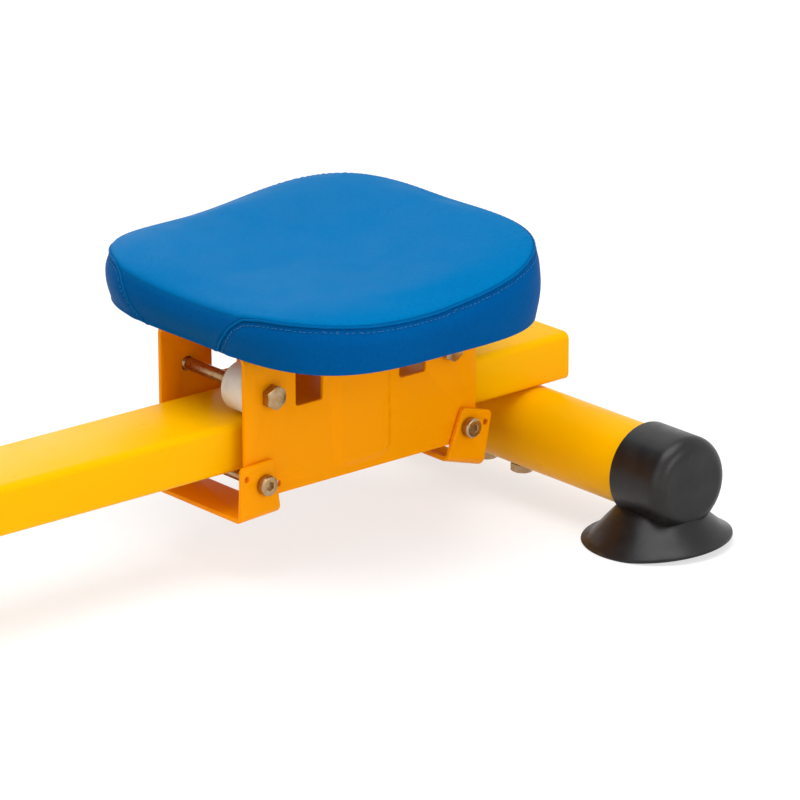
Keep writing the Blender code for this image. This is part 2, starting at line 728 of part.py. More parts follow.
def round_bracket_feet(bracket):
    """The bracket's lower corners, rounded through both side plates."""
    half = BRACKET_WIDTH / 2 + PAD_RISE + OVERRUN
    for x, turn in ((BRACKET_FRONT, 1), (BRACKET_REAR, -1)):
        middle_x = x + turn * BRACKET_FOOT_ROUND
        middle_z = BRACKET_FOOT + BRACKET_FOOT_ROUND
        angles = (180, 270) if turn == 1 else (0, -90)
        curve = arc(middle_x, middle_z, BRACKET_FOOT_ROUND, *angles, CORNER_STEPS)
        outside_x = x - turn * OVERRUN
        outside_z = BRACKET_FOOT - OVERRUN
        corner = [(middle_x, outside_z), (outside_x, outside_z), (outside_x, middle_z)]
        cut(bracket, prism(curve + corner, "Y", -half, half))


def seat_screw_places():
    return [
        (x, y)
        for x in (BRACKET_FRONT + SEAT_SCREW_INSET_X, BRACKET_REAR - SEAT_SCREW_INSET_X)
        for y in (-SEAT_SCREW_OFFSET_Y, SEAT_SCREW_OFFSET_Y)
    ]


def make_retainer(name, x, outward, tilt, finish):
    """A U of sheet below the rail, whose legs lie outside the side plates. outward is -1 at the front."""
    inner_half = STRAP_HALF - STRAP_SHEET
    top = RETAINER_Z + STRAP_UP
    bottom = RETAINER_Z - STRAP_DOWN
    reach = STRAP_OUTER_WIDTH + STRAP_TAPER
    channel = strap_section(STRAP_HALF, top + OVERRUN, bottom, STRAP_BEND)
    hollow = strap_section(inner_half, top + OVERRUN, bottom + STRAP_SHEET, STRAP_BEND - STRAP_SHEET)
    place = (
        Matrix.Translation((x, 0, RETAINER_Z))
        @ Matrix.Rotation(-tilt, 4, "Y")
        @ Matrix.Translation((-x, 0, -RETAINER_Z))
    )
    section = channel + hollow[::-1]
    strap = add_object(name, prism(section, "X", x - reach, x + reach), finish["yellow"], place)
    leg = [
        (x + outward * STRAP_OUTER_WIDTH, bottom - OVERRUN),
        (x + outward * (STRAP_OUTER_WIDTH - STRAP_TAPER), top),
        (x - outward * (STRAP_INNER_WIDTH - STRAP_TAPER), top),
        (x - outward * STRAP_INNER_WIDTH, bottom - OVERRUN),
    ]
    if outward == 1:
        leg.reverse()
    outer_reach = STRAP_HALF + OVERRUN
    keep_inside(strap, prism(rounded_outline(leg, STRAP_CORNER), "Y", -outer_reach, outer_reach), place)
    drill = rod(BOLT_RADIUS + BOLT_CLEARANCE, "Y", -outer_reach, outer_reach, (x, 0, RETAINER_Z))
    cut(strap, drill, place)
    hole = (x + outward * STRAP_HOLE_OFFSET, 0, RETAINER_Z + STRAP_HOLE_RISE)
    cut(strap, rod(SMALL_HOLE_RADIUS, "Y", -outer_reach, outer_reach, hole), place)


def strap_section(half, top, bottom, bend):
    """The outline of a filled channel, open side up: (y, z)."""
    outline = [(-half, top)]
    outline += arc(-half + bend, bottom + bend, bend, 180, 270, CORNER_STEPS)
    outline += arc(half - bend, bottom + bend, bend, 270, 360, CORNER_STEPS)
    return outline + [(half, top)]


def make_axle(name, x, finish):
    near = -BRACKET_WIDTH / 2 - TOUCH
    reach = BRACKET_WIDTH + TOUCH * 2 + NUT_HEIGHT + BOLT_TAIL
    hex_bolt(f"{name}_axle", finish["steel"], "Y", (x, near, AXLE_Z), -1, reach)
    hex_nut(f"{name}_axle_nut", finish["steel"], "Y", (x, -near, AXLE_Z), 1)


def make_roller(name, x, side, finish):
    """A nylon roller that runs on the rail's top face, beside one of the side plates."""
    far = BRACKET_WIDTH / 2 - BRACKET_SHEET - ROLLER_SIDE_GAP
    near = far - ROLLER_LENGTH
    bore = BOLT_RADIUS + RUNNING
    profile = [
        (near, bore),
        (near, WHEEL_RADIUS - ROLLER_CHAMFER),
        (near + ROLLER_CHAMFER, WHEEL_RADIUS),
        (far - ROLLER_CHAMFER, WHEEL_RADIUS),
        (far, WHEEL_RADIUS - ROLLER_CHAMFER),
        (far, bore),
    ]
    add_object(name, turned(mirror_profile(profile, side), "Y", (x, 0, AXLE_Z)), finish["nylon"])


def make_retainer_bolt(name, x, finish):
    near = -STRAP_HALF - TOUCH
    reach = STRAP_HALF * 2 + TOUCH * 2 + NUT_HEIGHT + BOLT_TAIL
    socket_bolt(f"{name}_retainer_bolt", finish["steel"], "Y", (x, near, RETAINER_Z), -1, reach)
    hex_nut(f"{name}_retainer_nut", finish["steel"], "Y", (x, -near, RETAINER_Z), 1)


def make_carriage(finish):
    make_bracket(finish)
    make_retainer("front_retainer", FRONT_RETAINER_X, -1, FRONT_STRAP_TILT, finish)
    make_retainer("rear_retainer", REAR_RETAINER_X, 1, REAR_STRAP_TILT, finish)
    make_axle("front", FRONT_AXLE_X, finish)
    make_axle("rear", REAR_AXLE_X, finish)
    make_roller("front_roller", FRONT_AXLE_X, -1, finish)
    make_roller("rear_roller", REAR_AXLE_X, 1, finish)
    make_retainer_bolt("front", FRONT_RETAINER_X, finish)
    make_retainer_bolt("rear", REAR_RETAINER_X, finish)


# Seat

def seat_reach(angle):
    """How far the seat's outline lies from its centre at an angle: a squarish oval, its sides drawn in."""
    along = abs(math.cos(angle)) / SEAT_HALF_LENGTH
    across = abs(math.sin(angle)) / SEAT_HALF_WIDTH
    full = (along**SEAT_SQUARENESS + across**SEAT_SQUARENESS) ** (-1 / SEAT_SQUARENESS)
    return full - SEAT_SIDE_DRAW * math.cos(2 * angle) ** 2


def seat_height(x, y):
    """Height of the seat's top over its underside: dished, with a raised rear and raised sides."""
    along = x / SEAT_HALF_LENGTH
    across = y / SEAT_HALF_WIDTH
    ends = SEAT_REAR_RISE * along + SEAT_END_RISE * along**2
    sides = (SEAT_SIDE_RISE - SEAT_CORNER_FALL * along) * across**2
    return SEAT_MIDDLE_HEIGHT + ends + sides


def seat_spoke(angle):
    """Points up the seat's side and over its top at one angle: (distance from the centre, height)."""
    reach = seat_reach(angle)
    across_x, across_y = math.cos(angle), math.sin(angle)
    edge = seat_height(reach * across_x, reach * across_y)
    seam = edge - SEAT_EDGE_FALL

    def top(distance):
        crown = SEAT_CROWN * (1 - (distance / reach) ** 4)
        return seat_height(distance * across_x, distance * across_y) + crown

    spoke = [(reach * share, 0) for share in SEAT_UNDERSIDE_SHARES]
    for k in range(CORNER_STEPS):
        turn = math.pi / 2 * k / CORNER_STEPS
        inset = SEAT_UNDER_ROUND * (1 - math.sin(turn))
        spoke.append((reach - inset, SEAT_UNDER_ROUND * (1 - math.cos(turn))))
    for k in range(CORNER_STEPS + 1):
        share = k / CORNER_STEPS
        height = SEAT_UNDER_ROUND + (seam - SEAT_UNDER_ROUND) * share
        spoke.append((reach + SEAT_BAND_BULGE * math.sin(math.pi * share), height))
    for k in range(1, CORNER_STEPS + 2):
        turn = math.pi / 2 * k / (CORNER_STEPS + 1)
        distance = reach - SEAT_EDGE_ROLL * (1 - math.cos(turn))
        spoke.append((distance, top(distance) - SEAT_EDGE_FALL * (1 - math.sin(turn))))
    inner = reach - SEAT_EDGE_ROLL
    spoke += [(inner * share, top(inner * share)) for share in SEAT_TOP_SHARES]
    return spoke


def make_cushion(finish):
    """A loft of spokes round the seat's centre, closed by one face below and a fan above."""
    shape = bmesh.new()
    spokes = []
    for k in range(SEAT_OUTLINE_STEPS):
        angle = 2 * math.pi * k / SEAT_OUTLINE_STEPS
        spokes.append(
            [
                shape.verts.new(
                    (SEAT_X + distance * math.cos(angle), distance * math.sin(angle), SEAT_BOTTOM + height)
                )
                for distance, height in seat_spoke(angle)
            ]
        )
    middle = shape.verts.new((SEAT_X, 0, SEAT_BOTTOM + seat_height(0, 0) + SEAT_CROWN))
    for k, spoke in enumerate(spokes):
        beside = spokes[(k + 1) % SEAT_OUTLINE_STEPS]
        for lower in range(len(spoke) - 1):
            shape.faces.new((spoke[lower], beside[lower], beside[lower + 1], spoke[lower + 1]))
        shape.faces.new((spoke[-1], beside[-1], middle))
    shape.faces.new([spoke[0] for spoke in spokes])
    cushion = add_object("seat_cushion", shape, finish["vinyl"])
    pocket = prism(board_outline(TOUCH), "Z", SEAT_BOTTOM - OVERRUN, board_top() + TOUCH)
    cut(cushion, pocket)


def board_outline(room=0.0):
    """The seat board's outline, or one that clears it by room."""
    half_length = SEAT_HALF_LENGTH - SEAT_BOARD_INSET + room
    half_width = SEAT_HALF_WIDTH - SEAT_BOARD_INSET + room
    corner = SEAT_BOARD_CORNER + room
    return shifted(rounded_rectangle(-half_length, -half_width, half_length, half_width, corner), SEAT_X, 0)


def board_top():
    return SEAT_BOTTOM + SEAT_BOARD_THICKNESS


def make_seat(finish):
    board = add_object("seat_board", prism(board_outline(), "Z", SEAT_BOTTOM, board_top()), finish["board"])
    make_cushion(finish)
    under = BRACKET_TOP - BRACKET_SHEET - TOUCH
    for number, (x, y) in enumerate(seat_screw_places(), 1):
        screw = add_object(
            f"seat_screw_{number}",
            chamfered_rod(SEAT_SCREW_RADIUS, "Z", -CHAMFER, SEAT_SCREW_LENGTH, (x, y, under)),
            finish["steel"],
        )
        join(screw, chamfered_rod(SEAT_SCREW_HEAD_RADIUS, "Z", -SEAT_SCREW_HEAD_HEIGHT, 0, (x, y, under)))
        drill = SEAT_SCREW_RADIUS + BOLT_CLEARANCE
        end = under + SEAT_SCREW_LENGTH + TOUCH - SEAT_BOTTOM
        cut(board, rod(drill, "Z", -OVERRUN, end, (x, y, SEAT_BOTTOM)))


# Rowing arms

def crank_frame():
    """Local to world: X out along the arm at rest, Y to the rower's right, Z square to both."""
    hinge = Matrix.Translation((ARM_HINGE_X, 0, ARM_HINGE_Z))
    return hinge @ Matrix.Rotation(ARM_REST_LEAN, 4, "Y")


def arm_path(side):
    """The arm's centre line in the plane of its own hinge: straight, then a smooth splay, then straight."""
    points = [(0, side * ARM_PLANE, 0), (0, side * ARM_PLANE, ARM_STRAIGHT)]
    for k in range(1, ARM_BEND_STEPS):
        share = k / ARM_BEND_STEPS
        out = ARM_SPLAY * (1 - math.cos(math.pi * share)) / 2
        points.append((0, side * (ARM_PLANE + out), ARM_STRAIGHT + (ARM_BEND_END - ARM_STRAIGHT) * share))
    points += [(0, side * (ARM_PLANE + ARM_SPLAY), ARM_BEND_END)]
    points += [(0, side * (ARM_PLANE + ARM_SPLAY), ARM_LENGTH)]
    return points


def make_arm(word, side, finish):
    place = crank_frame()
    arm = add_object(f"{word}_arm", swept(arm_path(side), ARM_RADIUS), finish["yellow"], place)
    hub = sorted((side * (ARM_PLANE - ARM_HUB_LENGTH / 2), side * (ARM_PLANE + ARM_HUB_LENGTH / 2)))
    join(arm, rod(ARM_HUB_RADIUS, "Y", *hub, steps=ROUND_STEPS), place)
    inner_face = ARM_PLANE - ARM_RADIUS - CRANK_BOSS_REACH
    boss = sorted((side * inner_face, side * ARM_PLANE))
    join(arm, rod(CRANK_BOSS_RADIUS, "Y", *boss, (0, 0, CRANK_RADIUS), steps=ROUND_STEPS), place)
    bore = ARM_PIVOT_RADIUS + BUSH_WALL + TOUCH
    drill = (hub[0] - OVERRUN, hub[1] + OVERRUN)
    cut(arm, rod(bore, "Y", *drill, steps=ROUND_STEPS), place)
    make_arm_pivot(word, side, hub, finish)
    make_grip(word, side, place, finish)


def make_arm_pivot(word, side, hub, finish):
    centre = (ARM_HINGE_X, 0, ARM_HINGE_Z)
    inner, outer = ARM_PIVOT_RADIUS + RUNNING, ARM_PIVOT_RADIUS + BUSH_WALL
    add_object(f"{word}_arm_bush", pipe(outer, inner, "Y", *hub, centre), finish["nylon"])
    seat = side * (ARM_PLANE + ARM_HUB_LENGTH / 2 + TOUCH)
    tip = side * (CROSSMEMBER_HALF - ARM_PIVOT_THREAD)
    ends = sorted((tip, seat + side * CHAMFER))
    shank = chamfered_rod(ARM_PIVOT_RADIUS, "Y", *ends, centre, steps=ROUND_STEPS)
    bolt = add_object(f"{word}_arm_pivot_bolt", shank, finish["steel"])
    head = sorted((seat, seat + side * ARM_PIVOT_HEAD_HEIGHT))
    join(bolt, chamfered_rod(ARM_PIVOT_HEAD_RADIUS, "Y", *head, centre, steps=ROUND_STEPS))


def make_grip(word, side, place, finish):
    """A foam sleeve closed at its end, pushed over the top of the arm."""
    start = ARM_LENGTH - GRIP_LENGTH
    bore_end = ARM_LENGTH + TOUCH
    end = bore_end + GRIP_END_WALL
    profile = [
        (start, 0),
        (start, GRIP_RADIUS - GRIP_ROUND),
        (start + GRIP_ROUND, GRIP_RADIUS),
        (end - GRIP_ROUND, GRIP_RADIUS),
        (end, GRIP_RADIUS - GRIP_ROUND),
        (end, 0),
    ]
    centre = (0, side * (ARM_PLANE + ARM_SPLAY), 0)
    grip = add_object(f"{word}_grip", turned(profile, "Z", centre), finish["foam"], place)
    cut(grip, rod(ARM_RADIUS + TOUCH, "Z", start - OVERRUN, bore_end, centre, steps=ROUND_STEPS), place)


def make_crossmember(finish):
    half = CROSSMEMBER_HALF
    hollow = CROSSMEMBER_RADIUS - CROSSMEMBER_WALL
    thread = ARM_PIVOT_RADIUS + BOLT_CLEARANCE
    profile = [
        (-half, thread),
        (-half, CROSSMEMBER_RADIUS),
        (half, CROSSMEMBER_RADIUS),
        (half, thread),
        (half - CROSSMEMBER_END, thread),
        (half - CROSSMEMBER_END, hollow),
        (-half + CROSSMEMBER_END, hollow),
        (-half + CROSSMEMBER_END, thread),
    ]
    tube = add_object(
        "arm_crossmember", turned(profile, "Y", (ARM_HINGE_X, 0, ARM_HINGE_Z)), finish["yellow"]
    )
    low = (ARM_HINGE_X - SADDLE_LENGTH / 2, -SADDLE_WIDTH / 2, RAIL_TOP + TOUCH)
    high = (ARM_HINGE_X + SADDLE_LENGTH / 2, SADDLE_WIDTH / 2, RAIL_TOP + TOUCH + SADDLE_THICKNESS)
    join(tube, box(low, high))
    reach = half - CROSSMEMBER_END
    centre = (ARM_HINGE_X, 0, ARM_HINGE_Z)
    cut(tube, rod(hollow, "Y", -reach, reach, centre, steps=ROUND_STEPS))


# Hydraulic cylinders

def cylinder_frame():
    """Local +Z runs from the base pin to the crank pin at rest."""
    run = Vector((CRANK_PIN_X - BASE_PIN_X, 0, CRANK_PIN_Z - BASE_PIN_Z))
    lean = math.atan2(run.x, run.z)
    place = Matrix.Translation((BASE_PIN_X, 0, BASE_PIN_Z)) @ Matrix.Rotation(lean, 4, "Y")
    return place, run.length


def eye(side, along):
    width = EYE_WIDTH / 2
    ends = sorted((side * (CYLINDER_PLANE - width), side * (CYLINDER_PLANE + width)))
    return rod(EYE_RADIUS, "Y", *ends, (0, 0, along), steps=ROUND_STEPS)


def eye_drill(side, along, radius):
    width = EYE_WIDTH / 2 + OVERRUN
    ends = sorted((side * (CYLINDER_PLANE - width), side * (CYLINDER_PLANE + width)))
    return rod(radius, "Y", *ends, (0, 0, along), steps=ROUND_STEPS)


def make_cylinder(word, side, finish):
    place, length = cylinder_frame()
    axis = (0, side * CYLINDER_PLANE, 0)
    bore = CYLINDER_RADIUS - CYLINDER_WALL
    start, end = BARREL_START, BARREL_START + BARREL_LENGTH
    profile = [
        (start, 0),
        (start, CYLINDER_RADIUS - BARREL_ROUND),
        (start + BARREL_ROUND, CYLINDER_RADIUS),
        (end - BARREL_ROUND, CYLINDER_RADIUS),
        (end, CYLINDER_RADIUS - BARREL_ROUND),
        (end, ROD_RADIUS + RUNNING),
        (end - BARREL_END_WALL, ROD_RADIUS + RUNNING),
        (end - BARREL_END_WALL, bore),
        (start + BARREL_END_WALL, bore),
        (start + BARREL_END_WALL, 0),
    ]
    barrel = add_object(f"{word}_cylinder", turned(profile, "Z", axis), finish["barrel"], place)
    join(barrel, eye(side, 0), place)
    neck = rod(CYLINDER_NECK_RADIUS, "Z", EYE_RADIUS / 2, start + BARREL_END_WALL / 2, axis)
    join(barrel, neck, place)
    cut(barrel, eye_drill(side, 0, BOLT_RADIUS + RUNNING), place)
    inner = [
        (ROD_INNER_END, 0),
        (ROD_INNER_END, bore - RUNNING),
        (ROD_INNER_END + PISTON_LENGTH, bore - RUNNING),
        (ROD_INNER_END + PISTON_LENGTH, ROD_RADIUS),
        (length - EYE_RADIUS / 2, ROD_RADIUS),
        (length - EYE_RADIUS / 2, 0),
    ]
    piston = add_object(f"{word}_rod", turned(inner, "Z", axis), finish["steel"], place)
    join(piston, eye(side, length), place)
    cut(piston, eye_drill(side, length, BOLT_RADIUS + BOLT_CLEARANCE), place)
    make_cylinder_bolts(word, side, finish)


def make_cylinder_bolts(word, side, finish):
    ear_face = EYE_WIDTH / 2 + CLEVIS_SIDE_GAP + CLEVIS_SHEET + TOUCH
    base = (BASE_PIN_X, side * (CYLINDER_PLANE - ear_face), BASE_PIN_Z)
    base_reach = ear_face * 2 + BOLT_TAIL
    hex_bolt(f"{word}_cylinder_bolt", finish["steel"], "Y", base, -side, base_reach)
    head = (CRANK_PIN_X, side * (CYLINDER_PLANE - EYE_WIDTH / 2 - TOUCH), CRANK_PIN_Z)
    boss_face = ARM_PLANE - ARM_RADIUS - CRANK_BOSS_REACH
    reach = boss_face - TOUCH - (CYLINDER_PLANE - EYE_WIDTH / 2 - TOUCH)
    hex_bolt(f"{word}_rod_bolt", finish["steel"], "Y", head, -side, reach)


# Foot pedals

def make_pedal_bracket(finish):
    """A channel on the rail's top face, with a round-topped cheek on each side that holds the axle."""
    half = PEDAL_BRACKET_WIDTH / 2
    inner = half - PEDAL_BRACKET_SHEET
    base = RAIL_TOP + TOUCH
    length = PEDAL_BRACKET_LENGTH / 2
    cheek = [(PEDAL_AXLE_X + length, base), (PEDAL_AXLE_X + length, base + PEDAL_BRACKET_SHEET)]
    cheek += arc(PEDAL_AXLE_X, PEDAL_AXLE_Z, PEDAL_BRACKET_TOP_RADIUS, *PEDAL_CHEEK_ARC, 3 * CORNER_STEPS)
    cheek += [(PEDAL_AXLE_X - length, base + PEDAL_BRACKET_SHEET), (PEDAL_AXLE_X - length, base)]
    bracket = add_object("pedal_bracket", prism(cheek, "Y", -half, half), finish["yellow"])
    top = PEDAL_AXLE_Z + PEDAL_BRACKET_TOP_RADIUS + OVERRUN
    reach = length + OVERRUN
    hollow = box(
        (PEDAL_AXLE_X - reach, -inner, base + PEDAL_BRACKET_SHEET),
        (PEDAL_AXLE_X + reach, inner, top),
    )
    cut(bracket, hollow)
    drill = PEDAL_AXLE_RADIUS + BOLT_CLEARANCE
    centre = (PEDAL_AXLE_X, 0, PEDAL_AXLE_Z)
    cut(bracket, rod(drill, "Y", -half - OVERRUN, half + OVERRUN, centre, steps=ROUND_STEPS))


def pedal_axle_half():
    return PEDAL_INNER + PEDAL_WIDTH + TOUCH + NUT_HEIGHT + BOLT_TAIL


def make_pedal_axle(finish):
    half = pedal_axle_half()
    centre = (PEDAL_AXLE_X, 0, PEDAL_AXLE_Z)
    add_object(
        "pedal_axle",
        chamfered_rod(PEDAL_AXLE_RADIUS, "Y", -half, half, centre, steps=ROUND_STEPS),
        finish["steel"],
    )
    for word, side in SIDES.items():
        seat = (PEDAL_AXLE_X, side * (PEDAL_INNER + PEDAL_WIDTH + TOUCH), PEDAL_AXLE_Z)
        across = 3 * PEDAL_AXLE_RADIUS
        start, end = sorted((0, side * NUT_HEIGHT))
        nut = add_object(f"pedal_axle_nut_{word}", hex_prism("Y", start, end, seat, across), finish["steel"])
        bore = PEDAL_AXLE_RADIUS + BOLT_CLEARANCE
        cut(nut, rod(bore, "Y", start - OVERRUN, end + OVERRUN, seat, steps=ROUND_STEPS))


def pedal_frame():
    """Local X runs from the heel to the toe, local Z out of the tread, with the origin on the axle."""
    toe = Vector((-math.cos(PEDAL_TILT), 0, math.sin(PEDAL_TILT)))
    up = Vector((math.sin(PEDAL_TILT), 0, math.cos(PEDAL_TILT)))
    side = up.cross(toe)
    turn = Matrix((toe, side, up)).transposed().to_4x4()
    return Matrix.Translation((PEDAL_AXLE_X, 0, PEDAL_AXLE_Z)) @ turn


def make_pedal(word, side, finish):
    place = pedal_frame()
    across = -side  # local Y runs to the rower's left
    inner, outer = sorted((across * PEDAL_INNER, across * (PEDAL_INNER + PEDAL_WIDTH)))
    heel = -PEDAL_HEEL_REACH
    toe = heel + PEDAL_LENGTH
    floor = PEDAL_HUB_DROP
    tread = floor + PEDAL_SOLE
    outline = rounded_rectangle(heel, inner, toe, outer, PEDAL_CORNER, 2 * CORNER_STEPS)
    pedal = add_object(f"{word}_pedal", prism(outline, "Z", floor, tread), finish["plastic"], place)
    wall = PEDAL_RIM_WALL
    hollow = rounded_rectangle(
        heel + wall, inner + wall, toe - wall, outer - wall, PEDAL_CORNER - wall, 2 * CORNER_STEPS
    )
    join(pedal, sleeve(outline, hollow, "Z", floor + PEDAL_SOLE / 2, tread + PEDAL_RIM_HEIGHT), place)
    heel_cup = sleeve(outline, hollow, "Z", floor + PEDAL_SOLE / 2, tread + PEDAL_HEEL_HEIGHT)
    shorten_to_heel(heel_cup, heel)
    join(pedal, heel_cup, place)
    for number in range(PEDAL_TREAD_COUNT):
        x = heel + PEDAL_HEEL_LENGTH + PEDAL_TREAD_PITCH * (number + 1)
        low = (x, inner + 2 * wall, floor + PEDAL_SOLE / 2)
        high = (x + PEDAL_TREAD_WIDTH, outer - 2 * wall, tread + PEDAL_TREAD_RISE)
        join(pedal, box(low, high), place)
    for offset in (-PEDAL_RIB_OFFSET, PEDAL_RIB_OFFSET):
        middle = (inner + outer) / 2 + offset
        rib = [(heel + wall, floor), (0, -PEDAL_HUB_RADIUS / 2), (toe - PEDAL_CORNER, floor)]
        rib += [(toe - PEDAL_CORNER, floor + PEDAL_SOLE / 2), (heel + wall, floor + PEDAL_SOLE / 2)]
        join(pedal, prism(rib, "Y", middle - PEDAL_RIB_WIDTH / 2, middle + PEDAL_RIB_WIDTH / 2), place)
    join(pedal, rod(PEDAL_HUB_RADIUS, "Y", inner, outer, steps=ROUND_STEPS), place)
    web_top = floor + PEDAL_SOLE / 2
    web = [(-PEDAL_HUB_WEB / 2, 0), (PEDAL_HUB_WEB / 2, 0)]
    web += [(PEDAL_HUB_WEB / 2, web_top), (-PEDAL_HUB_WEB / 2, web_top)]
    join(pedal, prism(web, "Y", inner, outer), place)
    drill = PEDAL_AXLE_RADIUS + RUNNING
    cut(pedal, rod(drill, "Y", inner - OVERRUN, outer + OVERRUN, steps=ROUND_STEPS), place)
    make_pedal_strap(word, inner, outer, heel, tread, place, finish)


def shorten_to_heel(shape, heel):
    """Keeps only the part of a pedal's wall that stands round the heel."""
    limit = heel + PEDAL_HEEL_LENGTH
    everything = shape.verts[:] + shape.edges[:] + shape.faces[:]
    result = bmesh.ops.bisect_plane(
        shape, geom=everything, plane_co=(limit, 0, 0), plane_no=(1, 0, 0), clear_outer=True
    )
    rim = [edge for edge in result["geom_cut"] if isinstance(edge, bmesh.types.BMEdge)]
    bmesh.ops.holes_fill(shape, edges=rim)


def make_pedal_strap(word, inner, outer, heel, tread, place, finish):
    """A webbing band that arches over the instep from one rim to the other, riveted outside the rims."""
    middle = (inner + outer) / 2
    clear = (outer - inner) / 2 + TOUCH
    foot = tread - PEDAL_SOLE
    shoulder = tread + PEDAL_RIM_HEIGHT
    rise = STRAP_BAND_RISE - PEDAL_RIM_HEIGHT

    def arch(half, height):
        points = [(middle - half, foot)]
        for k in range(STRAP_ARCH_STEPS + 1):
            turn = math.pi * (1 - k / STRAP_ARCH_STEPS)
            points.append((middle + half * math.cos(turn), shoulder + height * math.sin(turn)))
        return points + [(middle + half, foot)]

    outer_line = arch(clear + STRAP_BAND_THICKNESS, rise + STRAP_BAND_THICKNESS)
    inner_line = arch(clear, rise)
    start = heel + STRAP_BAND_FROM_HEEL
    band = prism(outer_line + inner_line[::-1], "X", start, start + STRAP_BAND_WIDTH)
    add_object(f"{word}_pedal_strap", band, finish["webbing"], place)


def main():
    clear_scene()
    finish = make_materials()
    make_frame(finish)
    make_carriage(finish)
    make_seat(finish)
    make_crossmember(finish)
    make_pedal_bracket(finish)
    make_pedal_axle(finish)
    for word, side in SIDES.items():
        make_arm(word, side, finish)
        make_cylinder(word, side, finish)
        make_pedal(word, side, finish)


main()
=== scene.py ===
"""The looks of a light sliding-seat rowing machine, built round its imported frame.

Metres, +Z up, the floor at Z = 0. +X points to the rail's rear end, and the rower's left is -Y, the photograph's
near side. A piece's vertices lie where the frame's node lies, and the piece rides on that node's body.
"""

import json
import math

import bmesh
import bpy
import numpy as np
from mathutils import Matrix, Vector, kdtree, noise

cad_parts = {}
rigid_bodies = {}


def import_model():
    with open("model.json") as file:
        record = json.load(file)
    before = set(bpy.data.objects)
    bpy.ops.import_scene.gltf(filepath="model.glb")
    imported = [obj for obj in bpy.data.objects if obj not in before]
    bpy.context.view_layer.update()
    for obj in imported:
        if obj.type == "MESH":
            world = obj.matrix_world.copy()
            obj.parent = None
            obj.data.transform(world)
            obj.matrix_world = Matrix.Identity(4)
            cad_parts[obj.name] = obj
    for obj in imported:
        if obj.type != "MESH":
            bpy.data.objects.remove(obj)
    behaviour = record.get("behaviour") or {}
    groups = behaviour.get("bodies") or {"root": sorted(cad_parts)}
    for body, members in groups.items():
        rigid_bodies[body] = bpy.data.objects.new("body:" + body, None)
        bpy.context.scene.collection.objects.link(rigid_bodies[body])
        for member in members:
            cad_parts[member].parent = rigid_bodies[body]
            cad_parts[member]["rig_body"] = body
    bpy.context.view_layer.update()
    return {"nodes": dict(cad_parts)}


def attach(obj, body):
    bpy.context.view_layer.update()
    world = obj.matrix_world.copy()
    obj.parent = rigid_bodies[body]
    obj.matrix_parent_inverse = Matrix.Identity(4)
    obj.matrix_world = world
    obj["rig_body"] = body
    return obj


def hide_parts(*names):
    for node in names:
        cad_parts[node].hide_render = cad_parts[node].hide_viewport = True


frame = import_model()

# Camera, fitted to the photograph's straight edges
CAMERA_AZIMUTH = math.radians(-40.26)
CAMERA_ELEVATION = math.radians(18.93)
CAMERA_ROLL = math.radians(-0.10)
CAMERA_DISTANCE = 3.04438
CAMERA_TARGET = (0.49158, 0.0, 0.06863)
CAMERA_LENS = 230.1  # mm, on the 36 mm sensor

# Light and floor
WORLD_LIGHT = 0.48
LAMPS = (
    ("overhead", (0.1, -0.3, 2.6), (0.3, 0.0, 0.1), (2.2, 1.8), 48.0),
    ("near_fill", (0.7, -2.9, 1.2), (0.4, 0.0, 0.1), (1.8, 1.4), 22.0),
    ("front_fill", (-2.5, -0.9, 1.3), (0.2, 0.0, 0.1), (1.6, 1.4), 12.0),
    ("far_sheen", (1.3, 2.6, 1.15), (0.3, 0.0, 0.1), (1.4, 0.9), 12.0),
)  # name, place, aim, size and power
FLOOR_SIZE = 24.0
FLOOR_COLOUR = 0.92
FLOOR_SEEN_COLOUR = 0.42
FLOOR_GLOW = 0.65

# Shared fineness
ROUND = 96
SMALL_ROUND = 48
HEX_ROUND = 72
FINE = 6  # steps in a rounded corner
SMOOTH_ANGLE = math.radians(35)
BROKEN_EDGE = 0.0006

# Sheet metal
SHEET = 0.003
SHEET_EDGE = 0.0006
BEND_CUTS = 8
TOUCH = 0.0003

# Hexagon heads and threads
HEX_TOP_SHARE = 0.95
HEX_SLOPE = math.tan(math.radians(30))
HEX_EDGE = 0.0002
BOLT_PITCH = 0.00125
THREAD_SHARE = 0.55  # of the pitch that a thread is deep

SIDES = {"left": -1, "right": 1}

# Rail and stabilisers. Most sizes from here on are the frame's own.
RAIL_HALF_LENGTH = 0.600
RAIL_HALF_WIDTH = 0.030
RAIL_BOTTOM = 0.0653
RAIL_TOP = 0.0953
RAIL_CORNER = 0.0045
RAIL_WALL = 0.002
PLUG_FACE = 0.5995
PLUG_DEPTH = 0.014
PLUG_CORNER = 0.0022
STABILISER_X = 0.575
TUBE_RADIUS = 0.025
TUBE_HEIGHT = 0.040
TUBE_WALL = 0.002
TUBE_EDGE = 0.0004
REAR_HALF = 0.161
FRONT_HALF = 0.200
STABILISER_BOLT = 0.0165  # from the machine's middle

# Feet
CAP_RADIUS = 0.0287
CAP_GRIP = 0.0365
CAP_END_WALL = 0.005
CAP_ROUND = 0.009  # 7 mm in the frame
CUP_RADIUS = 0.045
CUP_SETBACK = 0.010  # the cup's axis, inboard of the cap's middle
FOOT_SET = {("rear", "left"): (math.radians(-2.5), math.radians(-4.8), -0.0044)}  # the cup's twist, lean and shift
RIM_PRESSED = 0.35  # what is left of the rim's thickness where the floor presses it back
